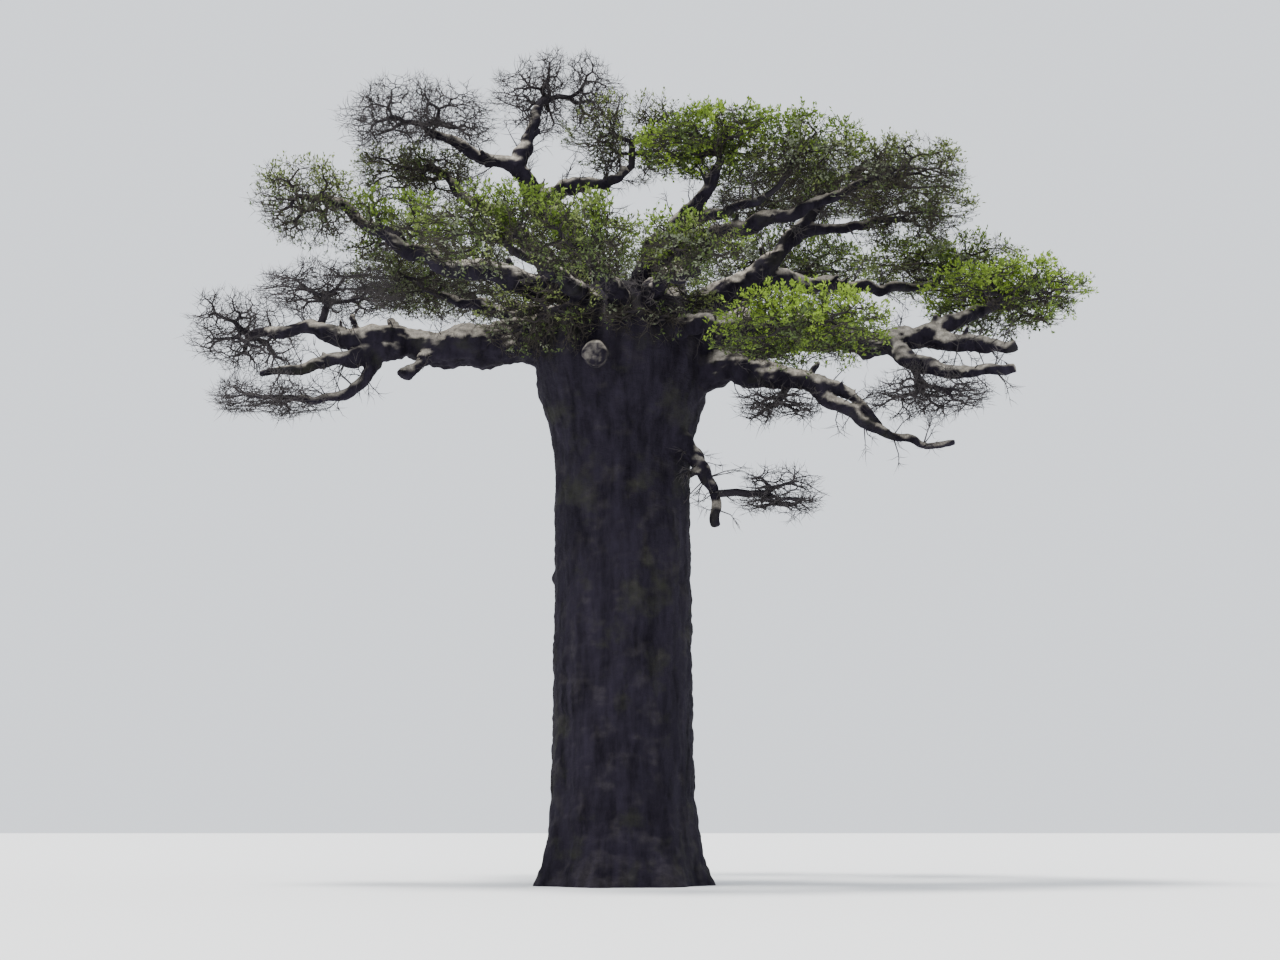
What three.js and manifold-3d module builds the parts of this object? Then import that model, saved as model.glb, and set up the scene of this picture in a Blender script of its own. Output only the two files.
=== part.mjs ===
// A big old baobab of the dry forest, at its real size: a straight grey trunk on a low root flare, heavy
// crooked boughs that leave its head, and a wide flat crown whose twigs are half bare and half in young leaf.
// Millimetres, +Z up, with the origin in the middle of the flat cut at ground level.
// Bearings and headings are degrees seen from above: 0 is right, 90 back, 180 left and 270 front.
// Climbs are degrees above the horizontal.
import * as THREE from "three";
import { ConvexGeometry } from "three/addons/geometries/ConvexGeometry.js";
import { mergeVertices } from "three/addons/utils/BufferGeometryUtils.js";
import Module from "manifold-3d";

const wasm = await Module();
wasm.setup();

// Driving sizes of the trunk.
const SHAFT_RADIUS = 1920;
const ROOT_FLARE = 420; // added to the radius at the ground
const ROOT_FLARE_HEIGHT = 1100; // the flare falls off over about this height
const ROOT_LOBES = 7;
const ROOT_LOBE_DEPTH = 0.07; // share of the radius
const FLUTES = 9;
const FLUTE_DEPTH = 0.012; // share of the radius
const SHOULDER_SWELL = 560; // the trunk widens by this where the boughs leave it
const SHOULDER_START = 11600;
const HEAD_HEIGHT = 14500; // the widest place, from where the head rounds over
const TRUNK_TOP = 16900;
const TRUNK_SIDES = 26;
const TRUNK_RINGS_BELOW_HEAD = 11;
const TRUNK_RINGS_OVER_HEAD = 4;

// How limbs are made.
const LIMB_STEPS = 7;
const SIDES_OF_STOUT_LIMB = 7;
const SIDES_OF_THIN_LIMB = 5;
const STOUT_FROM = 400; // root radius
const CROOK = 14; // degrees by which each step of a limb may stray from its course
const TAPER = 1.3; // above 1, a limb thins fastest near its root
const SEAM = 0.3; // clear gap between neighbouring solids

// How a mass of twigs and leaves is made.
const TIPS_PER_SQUARE_METRE = 88; // fine twig ends over the plan of a mass
const CLUMP_SPACING = [1500, 1500, 800]; // ahead, aside and upwards
const CLUMP_FLOOR = -0.1; // twigs end only where the clump waves stand above this
const FORK_REACH = 0.5; // a twig runs this share of the way to the middle of what it serves
const FORK_RIDGE = 0.15; // height of the ridge across a fork, in radii
const TWIG_ROOT = 0.1; // a twig may be rooted this share of the way down the one before it
const TWIG_TAPER = 0.41; // a twig's radius goes by this power of the tips that it carries
const THINNEST_TWIG = 24;
const BARK_CLEARANCE = 160; // twig ends keep this far from the bark of a limb
const UNDERSIDE = 0.72; // a mass's usual depth below its middle, as a share of its height above
const SIDE_STEM_RADIUS = 110; // of a mass that stands on the side of a limb
const STEM_STRAIGHT = 1.5; // a stem goes straight on from its limb for this many radii
const LEAF_LENGTH = 900; // one leaf here stands for a spray
const LEAF_WIDTH = 420;
const LEAF_THICKNESS = 45;
const LEAF_WIDEST = 0.55; // share of its length
const LEAF_TILT = 0.6;

// The limbs. Each starts at a height and bearing on the trunk, or at a share of the length of another limb.
// heading is its first and last direction, climb its first, middle and last, girth its first and last radius.
const LIMBS = {
  left_low: {
    height: 15000, bearing: 185, out: 1200, heading: [196, 172], climb: [0, 3, 14], length: 9300,
    girth: [880, 150], snag: { at: 0.44, heading: 205, climb: -38, length: 1350, girth: [210, 150] },
  },
  left_arm: {
    from: "left_low", at: 0.55, heading: [206, 190], climb: [-24, -16, 2], length: 4300, girth: [370, 80],
  },
  left_drop: {
    from: "left_arm", at: 0.22, heading: [200, 192], climb: [-88, -34, -2], length: 3000,
    girth: [210, 90],
  },
  left_high: {
    height: 16000, bearing: 220, out: 900, heading: [222, 190], climb: [16, 2, 30], length: 8700,
    girth: [480, 120],
  },
  left_back: {
    height: 15700, bearing: 150, out: 1100, heading: [146, 172], climb: [26, 12, 14], length: 5400,
    girth: [430, 120],
  },
  upper_left: {
    height: 16200, bearing: 165, out: 900, heading: [164, 190], climb: [52, 34, 38], length: 6600,
    girth: [460, 120],
  },
  top: {
    height: 16300, bearing: 190, out: 600, heading: [178, 202], climb: [66, 48, 6], length: 7400,
    girth: [540, 120],
  },
  top_leader: {
    from: "top", at: 0.66, heading: [10, 0], climb: [50, 72, 60], length: 2200, girth: [290, 130],
  },
  top_right: {
    from: "top", at: 0.48, heading: [-34, 8], climb: [42, 2, 50], length: 2900, girth: [300, 120],
  },
  centre_right: {
    height: 16100, bearing: 310, out: 900, heading: [288, 322], climb: [60, 36, 50], length: 5000,
    girth: [500, 130],
  },
  centre_right_fork: {
    from: "centre_right", at: 0.5, heading: [336, 330], climb: [16, 8, 20], length: 3000,
    girth: [220, 90],
  },
  right_level: {
    from: "centre_right", at: 0.36, heading: [344, 346], climb: [14, 0, 26], length: 6200,
    girth: [320, 110],
  },
  hook: {
    height: 16200, bearing: 25, out: 1800, heading: [104, 22], climb: [80, 40, 14], length: 6400,
    girth: [400, 120],
  },
  right_high: {
    height: 15700, bearing: 352, out: 1500, heading: [356, 352], climb: [24, 38, 62], length: 5700,
    girth: [540, 150],
  },
  right_high_arm: {
    from: "right_high", at: 0.72, heading: [348, 346], climb: [20, 0, 4], length: 3200, girth: [200, 90],
  },
  right_mid: {
    from: "right_high", at: 0.37, heading: [14, 32], climb: [26, 4, 20], length: 6700, girth: [340, 110],
  },
  right: {
    height: 15200, bearing: 348, out: 1500, heading: [352, 4], climb: [-8, 2, 32], length: 9000,
    girth: [820, 180],
  },
  right_stub: {
    from: "right", at: 0.8, heading: [346, 345], climb: [-30, -14, 16], length: 2700, girth: [300, 150],
  },
  right_stub_low: {
    from: "right", at: 0.66, heading: [334, 348], climb: [-38, -26, 12], length: 4100, girth: [300, 130],
  },
  right_low: {
    height: 14100, bearing: 345, out: 1300, heading: [343, 346], climb: [0, -14, -50], length: 6600,
    girth: [720, 70],
  },
  right_low_fork: {
    from: "right_low", at: 0.4, heading: [2, 342], climb: [10, -36, 26], length: 6100, girth: [290, 70],
  },
  low_right: {
    height: 12500, bearing: 322, out: 1500, heading: [352, 350], climb: [-40, -56, -86], length: 3300,
    girth: [340, 110],
  },
  front_right: {
    height: 15000, bearing: 312, out: 1400, heading: [310, 316], climb: [-2, -8, -18], length: 4600,
    girth: [360, 120],
  },
  front_left: {
    height: 15700, bearing: 244, out: 1000, heading: [236, 250], climb: [10, 2, 2], length: 5500,
    girth: [400, 120],
  },
  front: {
    height: 15700, bearing: 264, out: 1000, heading: [264, 262], climb: [8, 0, 0], length: 5100,
    girth: [380, 120],
  },
  front_centre: {
    height: 15800, bearing: 284, out: 900, heading: [282, 288], climb: [14, 4, 0], length: 5000,
    girth: [380, 120],
  },
  back_right: {
    height: 15600, bearing: 45, out: 1100, heading: [42, 56], climb: [32, 24, 16], length: 6700,
    girth: [500, 130],
  },
  back: {
    height: 15700, bearing: 90, out: 1000, heading: [84, 96], climb: [34, 24, 12], length: 6600,
    girth: [500, 130],
  },
  back_left: {
    height: 15600, bearing: 128, out: 1100, heading: [122, 138], climb: [32, 22, 14], length: 6700,
    girth: [480, 130],
  },
};

// The broken bough stub on the front of the trunk's head.
const FRONT_STUB = {
  height: 14500, bearing: 248, out: 1500, heading: 262, climb: -14, length: 1500, girth: [420, 330],
};

// The masses. Each stands on a limb's tip, or at a share of the limb's length. ahead, aside and lift place
// its middle from there along the limb's last heading, to the left of it and upwards. long, wide and high are
// its half sizes, and under is its depth below the middle as a share of high. leaves says what its twigs
// carry: fresh, olive, sparse or bare.
const MASSES = {
  twigs_left_tip: {
    on: "left_low", ahead: 700, lift: -50, long: 1600, wide: 2200, high: 1350, under: 0.9,
    leaves: "bare",
  },
  twigs_left_rise: {
    on: "left_low", at: 0.82, ahead: -300, lift: 1000, long: 2300, wide: 2100, high: 1000,
    leaves: "bare",
  },
  twigs_left_drop: {
    on: "left_drop", ahead: 700, lift: -50, long: 1800, wide: 1600, high: 750, under: 0.7,
    leaves: "bare",
  },
  twigs_left_high: {
    on: "left_high", ahead: 450, lift: -200, long: 1600, wide: 2500, high: 1050, under: 1,
    leaves: "sparse",
  },
  leaves_left_high: {
    on: "left_high", at: 0.68, ahead: 650, lift: 600, long: 1900, wide: 2300, high: 850, under: 0.9,
    leaves: "olive",
  },
  twigs_left_back: {
    on: "left_back", ahead: 700, lift: 300, long: 2200, wide: 2800, high: 1150, under: 0.7,
    leaves: "sparse",
  },
  twigs_upper_left: {
    on: "upper_left", ahead: 550, lift: 50, long: 2000, wide: 2800, high: 1000, under: 1,
    leaves: "sparse",
  },
  twigs_top_left: {
    on: "top", ahead: 400, lift: 250, long: 2450, wide: 2700, high: 1150, under: 1, leaves: "bare",
  },
  twigs_top: {
    on: "top_leader", ahead: 600, aside: 800, lift: 650, long: 2150, wide: 2400, high: 1150, under: 0.8,
    leaves: "bare",
  },
  leaves_top_right: {
    on: "top_right", ahead: 100, lift: 850, long: 2050, wide: 2600, high: 1100, under: 0.9,
    leaves: "sparse",
  },
  leaves_centre_right: {
    on: "centre_right", ahead: 100, lift: 450, long: 2400, wide: 2300, high: 850, under: 0.9,
    leaves: "fresh",
  },
  leaves_centre_fork: {
    on: "centre_right_fork", ahead: 900, lift: 900, long: 2100, wide: 2300, high: 1050, under: 0.8,
    leaves: "olive",
  },
  leaves_right_level: {
    on: "right_level", ahead: 800, lift: -50, long: 2000, wide: 2300, high: 900, under: 0.9,
    leaves: "sparse",
  },
  leaves_hook: { on: "hook", ahead: 900, lift: 800, long: 2600, wide: 2600, high: 1000, leaves: "sparse" },
  leaves_right_high: {
    on: "right_high", ahead: 600, lift: 450, long: 2300, wide: 2500, high: 950, under: 0.8,
    leaves: "sparse",
  },
  twigs_right_arm: {
    on: "right_high_arm", ahead: 300, lift: 150, long: 2000, wide: 2500, high: 900, under: 0.9,
    leaves: "sparse",
  },
  leaves_right_mid: {
    on: "right_mid", ahead: 200, lift: 450, long: 2500, wide: 2800, high: 900, under: 0.8,
    leaves: "olive",
  },
  leaves_right: {
    on: "right", ahead: 700, lift: 400, long: 2450, wide: 2700, high: 950, under: 0.9, leaves: "fresh",
  },
  twigs_right_hang: {
    on: "right_stub_low", at: 0.25, ahead: 500, lift: -1100, long: 1900, wide: 1700, high: 950,
    under: 0.8, leaves: "bare",
  },
  twigs_right_low: {
    on: "right_low", at: 0.56, ahead: -450, lift: -750, long: 1350, wide: 1500, high: 750, under: 0.8,
    leaves: "bare",
  },
  twigs_low_right: {
    on: "low_right", at: 0.72, ahead: 1850, lift: -200, long: 1300, wide: 1300, high: 1000,
    leaves: "bare",
  },
  leaves_front_right: {
    on: "front_right", ahead: 700, aside: 300, lift: -150, long: 2500, wide: 2500, high: 1050,
    under: 0.8, leaves: "fresh",
  },
  twigs_collar_left: {
    on: "front_left", at: 0.26, ahead: 0, aside: -900, lift: -350, long: 1300, wide: 2300, high: 1200,
    under: 1.1, leaves: "sparse",
  },
  twigs_collar_right: {
    on: "front_centre", at: 0.24, ahead: 100, aside: 100, lift: -350, long: 1300, wide: 2200, high: 1150,
    under: 1.1, leaves: "sparse",
  },
  leaves_front_left: {
    on: "front_left", ahead: 900, lift: 200, long: 2500, wide: 2500, high: 1050, under: 0.8,
    leaves: "olive",
  },
  leaves_front: {
    on: "front", ahead: 1200, lift: 250, long: 2400, wide: 1900, high: 1000, under: 0.8, leaves: "olive",
  },
  leaves_front_centre: {
    on: "front_centre", ahead: 900, aside: -900, lift: 200, long: 2000, wide: 1700, high: 850,
    under: 0.8, leaves: "olive",
  },
  leaves_back_right: {
    on: "back_right", ahead: 1200, lift: 700, long: 3000, wide: 3000, high: 1150, leaves: "olive",
  },
  leaves_back: { on: "back", ahead: 1200, lift: 700, long: 3000, wide: 3100, high: 1200, leaves: "olive" },
  twigs_back_left: {
    on: "back_left", ahead: 1200, lift: 600, long: 3000, wide: 3000, high: 1200, leaves: "sparse",
  },
};

// Stout twigs drawn in a mass, which stand for its fine ones, and the share of them in leaf.
const TWIGS_DRAWN = { fresh: 19, olive: 19, sparse: 21, bare: 25 };
const LEAFY_SHARE = { fresh: 1, olive: 1, sparse: 0.5, bare: 0 };

const MATERIALS = {
  bark: new THREE.MeshStandardMaterial({ color: 0x4a4048, roughness: 0.95, metalness: 0 }),
  bare: new THREE.MeshStandardMaterial({ color: 0x6a625e, roughness: 0.95, metalness: 0 }),
  sparse: new THREE.MeshStandardMaterial({ color: 0x66705a, roughness: 0.9, metalness: 0 }),
  olive: new THREE.MeshStandardMaterial({ color: 0x6d7f3c, roughness: 0.85, metalness: 0 }),
  fresh: new THREE.MeshStandardMaterial({ color: 0x86a83a, roughness: 0.8, metalness: 0 }),
};

// Seeded draws from 0 to 1, the same ones on every run.
const LEHMER_MULTIPLIER = 48271;
const LEHMER_MODULUS = 2147483647;

function drawsFrom(seed) {
  let state = (seed * 7919 + 104729) % LEHMER_MODULUS;
  return () => {
    state = (state * LEHMER_MULTIPLIER) % LEHMER_MODULUS;
    return state / LEHMER_MODULUS;
  };
}

const mix = (a, b, t) => a + (b - a) * t;

// A smooth course through a first, middle and last value.
const through = ([first, middle, last], t) =>
  first * (1 - t) * (1 - 2 * t) + middle * 4 * t * (1 - t) + last * t * (2 * t - 1);

const smooth = (t) => {
  const held = Math.min(1, Math.max(0, t));
  return held * held * (3 - 2 * held);
};

function direction(heading, climb) {
  const h = THREE.MathUtils.degToRad(heading);
  const c = THREE.MathUtils.degToRad(climb);
  return new THREE.Vector3(Math.cos(h) * Math.cos(c), Math.sin(h) * Math.cos(c), Math.sin(c));
}

const middleOf = (points) =>
  points.reduce((sum, p) => sum.add(p), new THREE.Vector3()).divideScalar(points.length);

// A closed skin over rings of points that run along a limb, each ring anticlockwise seen from the far end.
function loft(rings) {
  const sides = rings[0].length;
  const index = [];
  for (let i = 0; i + 1 < rings.length; i += 1) {
    for (let j = 0; j < sides; j += 1) {
      const next = (j + 1) % sides;
      const [a, b, c, d] = [i * sides + j, i * sides + next, (i + 1) * sides + next, (i + 1) * sides + j];
      index.push(a, b, c, a, c, d);
    }
  }
  const last = (rings.length - 1) * sides;
  for (let j = 1; j + 1 < sides; j += 1) {
    index.push(0, j + 1, j);
    index.push(last, last + j, last + j + 1);
  }
  return new THREE.BufferGeometry().setFromPoints(rings.flat()).setIndex(index);
}

function solidOf(geometry) {
  const plain = geometry.clone();
  plain.deleteAttribute("normal");
  plain.deleteAttribute("uv");
  const merged = mergeVertices(plain);
  return new wasm.Manifold(
    new wasm.Mesh({
      numProp: 3,
      vertProperties: new Float32Array(merged.getAttribute("position").array),
      triVerts: new Uint32Array(merged.index.array),
    }),
  );
}

function geometryOf(solid) {
  const { vertProperties, triVerts } = solid.getMesh();
  return new THREE.BufferGeometry()
    .setAttribute("position", new THREE.BufferAttribute(vertProperties, 3))
    .setIndex(new THREE.BufferAttribute(triVerts, 1));
}

// The largest body of a solid, with any sealed hollow filled and any loose scrap dropped.
const mainBody = (solid) => solid.decompose().sort((a, b) => b.volume() - a.volume())[0];

function boxesMeet(a, b) {
  const [p, q] = [a.boundingBox(), b.boundingBox()];
  return [0, 1, 2].every((k) => p.min[k] <= q.max[k] && q.min[k] <= p.max[k]);
}

// The trunk.
function trunkRadius(height, bearing) {
  const flare = Math.exp(-height / ROOT_FLARE_HEIGHT);
  const swell = smooth((height - SHOULDER_START) / (HEAD_HEIGHT - SHOULDER_START));
  const over = Math.max(0, height - HEAD_HEIGHT) / (TRUNK_TOP - HEAD_HEIGHT);
  const round = SHAFT_RADIUS + ROOT_FLARE * flare + SHOULDER_SWELL * swell;
  const lobes = ROOT_LOBE_DEPTH * flare * Math.cos(ROOT_LOBES * bearing + 0.6);
  const flutes = FLUTE_DEPTH * Math.cos(FLUTES * bearing + height / SHOULDER_START);
  return round * (1 + lobes + flutes) * Math.sqrt(1 - 0.96 * over * over);
}

function trunkHeights() {
  const heights = [];
  for (let i = 0; i < TRUNK_RINGS_BELOW_HEAD; i += 1) {
    const t = i / TRUNK_RINGS_BELOW_HEAD;
    heights.push(HEAD_HEIGHT * t * (0.45 + 0.55 * t)); // closer rings over the root flare
  }
  for (let i = 0; i <= TRUNK_RINGS_OVER_HEAD; i += 1) {
    heights.push(mix(HEAD_HEIGHT, TRUNK_TOP, Math.sin((i / TRUNK_RINGS_OVER_HEAD) * (Math.PI / 2))));
  }
  return heights;
}

function trunkSolid(grow) {
  const rings = trunkHeights().map((height) =>
    Array.from({ length: TRUNK_SIDES }, (_, j) => {
      const bearing = (2 * Math.PI * j) / TRUNK_SIDES;
      const radius = trunkRadius(height, bearing) + grow;
      const z = height === TRUNK_TOP ? height + grow : height;
      return new THREE.Vector3(radius * Math.cos(bearing), radius * Math.sin(bearing), z);
    }),
  );
  return solidOf(loft(rings));
}

// The limbs.
const onTrunk = ({ height, bearing, out }) => direction(bearing, 0).multiplyScalar(out).setZ(height);

function limbPath(start, { heading, climb, length }, draw) {
  const points = [start];
  const turn = ((heading[1] - heading[0] + 540) % 360) - 180; // the short way round
  for (let i = 0; i < LIMB_STEPS; i += 1) {
    const t = (i + 0.5) / LIMB_STEPS;
    const way = heading[0] + turn * t + CROOK * (2 * draw() - 1);
    const rise = through(climb, t) + CROOK * (2 * draw() - 1);
    points.push(points[i].clone().addScaledVector(direction(way, rise), length / LIMB_STEPS));
  }
  return points;
}

const limbRadius = ([root, tip], t) => tip + (root - tip) * (1 - t) ** TAPER;

function alongPath(points, share) {
  const place = Math.min(share, 0.9999) * (points.length - 1);
  const i = Math.floor(place);
  return points[i].clone().lerp(points[i + 1], place - i);
}

// The direction of a path at a node: that of its one step at an end, and between its two steps elsewhere.
function courseAt(points, i) {
  const before = points[Math.max(i - 1, 0)];
  const after = points[Math.min(i + 1, points.length - 1)];
  return after.clone().sub(before).normalize();
}

function tube(points, radii, sides) {
  const rings = [];
  let normal = null;
  points.forEach((point, i) => {
    const tangent = courseAt(points, i);
    if (!normal) normal = new THREE.Vector3(tangent.y, tangent.z, tangent.x);
    normal = normal.clone().addScaledVector(tangent, -normal.dot(tangent)).normalize();
    const binormal = tangent.clone().cross(normal);
    rings.push(
      Array.from({ length: sides }, (_, j) => {
        const angle = (2 * Math.PI * j) / sides;
        return point
          .clone()
          .addScaledVector(normal, radii[i] * Math.cos(angle))
          .addScaledVector(binormal, radii[i] * Math.sin(angle));
      }),
    );
  });
  return solidOf(loft(rings));
}

function limbSolid(limb, grow) {
  const path = limb.path.map((node) => node.clone());
  path[0].addScaledVector(courseAt(path, 0), -grow);
  path[LIMB_STEPS].addScaledVector(courseAt(path, LIMB_STEPS), grow);
  const radii = limb.path.map((_, i) => limbRadius(limb.girth, i / LIMB_STEPS) + grow);
  return tube(path, radii, limb.girth[0] < STOUT_FROM ? SIDES_OF_THIN_LIMB : SIDES_OF_STOUT_LIMB);
}

// A broken side stub, fused to what it grows from.
function snagSolid(start, { heading, climb, length, girth }, grow) {
  const way = direction(heading, climb);
  const end = start.clone().addScaledVector(way, length + grow);
  const middle = start.clone().lerp(end, 0.5);
  const radii = [girth[0] + grow, (girth[0] + girth[1]) / 2 + grow, girth[1] + grow];
  return tube([start, middle, end], radii, SIDES_OF_THIN_LIMB);
}

// The masses of twigs and leaves. A mass keeps to a space: a rounded pad that is flatter underneath.
function placeMass(mass, limbs) {
  const limb = limbs[mass.on];
  const share = mass.at ?? 1;
  const foot = share < 1 ? alongPath(limb.path, share) : limb.path[LIMB_STEPS].clone();
  const course = limb.path[LIMB_STEPS].clone().sub(limb.path[LIMB_STEPS - 1]).normalize();
  const facing = Math.atan2(course.y, course.x);
  const ahead = new THREE.Vector3(Math.cos(facing), Math.sin(facing), 0);
  const aside = new THREE.Vector3(-ahead.y, ahead.x, 0);
  const centre = foot
    .clone()
    .addScaledVector(ahead, mass.ahead)
    .addScaledVector(aside, mass.aside ?? 0)
    .add(new THREE.Vector3(0, 0, mass.lift));
  return { ...mass, share, foot, course, ahead, aside, centre, low: mass.high * (mass.under ?? UNDERSIDE) };
}

// How far out a point lies in a mass's space, where 1 is the edge.
function reachIn(mass, point) {
  const from = point.clone().sub(mass.centre);
  const high = from.z < 0 ? mass.low : mass.high;
  return Math.hypot(from.dot(mass.ahead) / mass.long, from.dot(mass.aside) / mass.wide, from.z / high);
}

function ownsPoint(mass, others, point) {
  const own = reachIn(mass, point);
  return own < 1 && others.every((other) => reachIn(other, point) > own);
}

function clearOfBark(point, limbs, clearance) {
  const fromTrunk = Math.hypot(point.x, point.y) - trunkRadius(Math.min(point.z, TRUNK_TOP), 0);
  if (point.z < TRUNK_TOP + clearance && fromTrunk < clearance) return false;
  return Object.values(limbs).every((limb) =>
    limb.path.every((node, i) => {
      if (i === 0) return true;
      const step = new THREE.Line3(limb.path[i - 1], node);
      const nearest = step.closestPointToPoint(point, true, new THREE.Vector3());
      return nearest.distanceTo(point) > limbRadius(limb.girth, (i - 1) / LIMB_STEPS) + clearance;
    }),
  );
}

// Twig ends gather in clumps with open gaps between them, where three waves that bend one another stand high.
function inClump(mass, phases, point) {
  const from = point.clone().sub(mass.centre);
  const parts = [from.dot(mass.ahead), from.dot(mass.aside), from.z];
  const [a, b, c] = parts.map((part, i) => 2 * Math.PI * (part / CLUMP_SPACING[i] + phases[i]));
  return Math.sin(a + Math.sin(b)) + Math.sin(b + Math.sin(c)) + Math.sin(c + Math.sin(a)) > CLUMP_FLOOR;
}

// The ends of the fine twigs, spread through the mass's space and thicker towards its skin.
function tipsOf(mass, others, limbs, draw) {
  const wanted = Math.round((TIPS_PER_SQUARE_METRE * Math.PI * mass.long * mass.wide) / 1e6);
  const phases = [draw(), draw(), draw()];
  const tips = [];
  for (let tries = 0; tips.length < wanted && tries < wanted * 6; tries += 1) {
    const turn = 2 * Math.PI * draw();
    const z = 2 * draw() - 1;
    const shell = draw() ** 0.45;
    const flat = Math.sqrt(1 - z * z) * shell;
    const high = z < 0 ? mass.low : mass.high;
    const tip = mass.centre
      .clone()
      .addScaledVector(mass.ahead, mass.long * flat * Math.cos(turn))
      .addScaledVector(mass.aside, mass.wide * flat * Math.sin(turn))
      .add(new THREE.Vector3(0, 0, high * z * shell));
    if (!inClump(mass, phases, tip) || !ownsPoint(mass, others, tip)) continue;
    if (clearOfBark(tip, limbs, BARK_CLEARANCE)) tips.push(tip);
  }
  return tips;
}

// Two shares of a cloud of tips, the larger first, parted across its widest side as seen from the fork.
function partTips(fork, tips) {
  const course = middleOf(tips).sub(fork).normalize();
  let widest = { spread: -1, axis: "x" };
  for (const axis of ["x", "y", "z"]) {
    const values = tips.map((tip) => tip[axis]);
    const spread = (Math.max(...values) - Math.min(...values)) * (1.1 - Math.abs(course[axis]));
    if (spread > widest.spread) widest = { spread, axis };
  }
  const sorted = [...tips].sort((a, b) => a[widest.axis] - b[widest.axis]);
  const share = 0.36 + 0.28 * ((tips.length * 0.618) % 1);
  const cut = Math.min(tips.length - 1, Math.max(1, Math.round(tips.length * share)));
  const shares = [sorted.slice(0, cut), sorted.slice(cut)];
  return shares.sort((a, b) => b.length - a.length);
}

const furthestFrom = (place, tips) =>
  tips.reduce((best, tip) => (tip.distanceTo(place) > best.distanceTo(place) ? tip : best));

// Three corners about a centre, across a direction.
function triangleAt(centre, course, radius) {
  const across = new THREE.Vector3(course.y, course.z, course.x).cross(course).normalize();
  const along = course.clone().cross(across);
  return [0, 1, 2].map((j) => {
    const angle = (2 * Math.PI * j) / 3;
    return centre
      .clone()
      .addScaledVector(across, radius * Math.cos(angle))
      .addScaledVector(along, radius * Math.sin(angle));
  });
}

// The widest ring of a spray of leaves, which is a thin keeled lozenge that its twig runs out into.
function leafRing(neck, tip, draw) {
  const way = tip.clone().sub(neck).normalize();
  const level = new THREE.Vector3(-way.y, way.x, 0).normalize();
  const tilt = mix(-LEAF_TILT, LEAF_TILT, draw());
  const side = level.clone().applyAxisAngle(way, tilt);
  const keel = side.clone().cross(way);
  const middle = neck.clone().lerp(tip, LEAF_WIDEST);
  return [
    middle.clone().addScaledVector(side, LEAF_WIDTH / 2),
    middle.clone().addScaledVector(side, -LEAF_WIDTH / 2),
    middle.clone().addScaledVector(keel, LEAF_THICKNESS),
  ];
}

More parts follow.
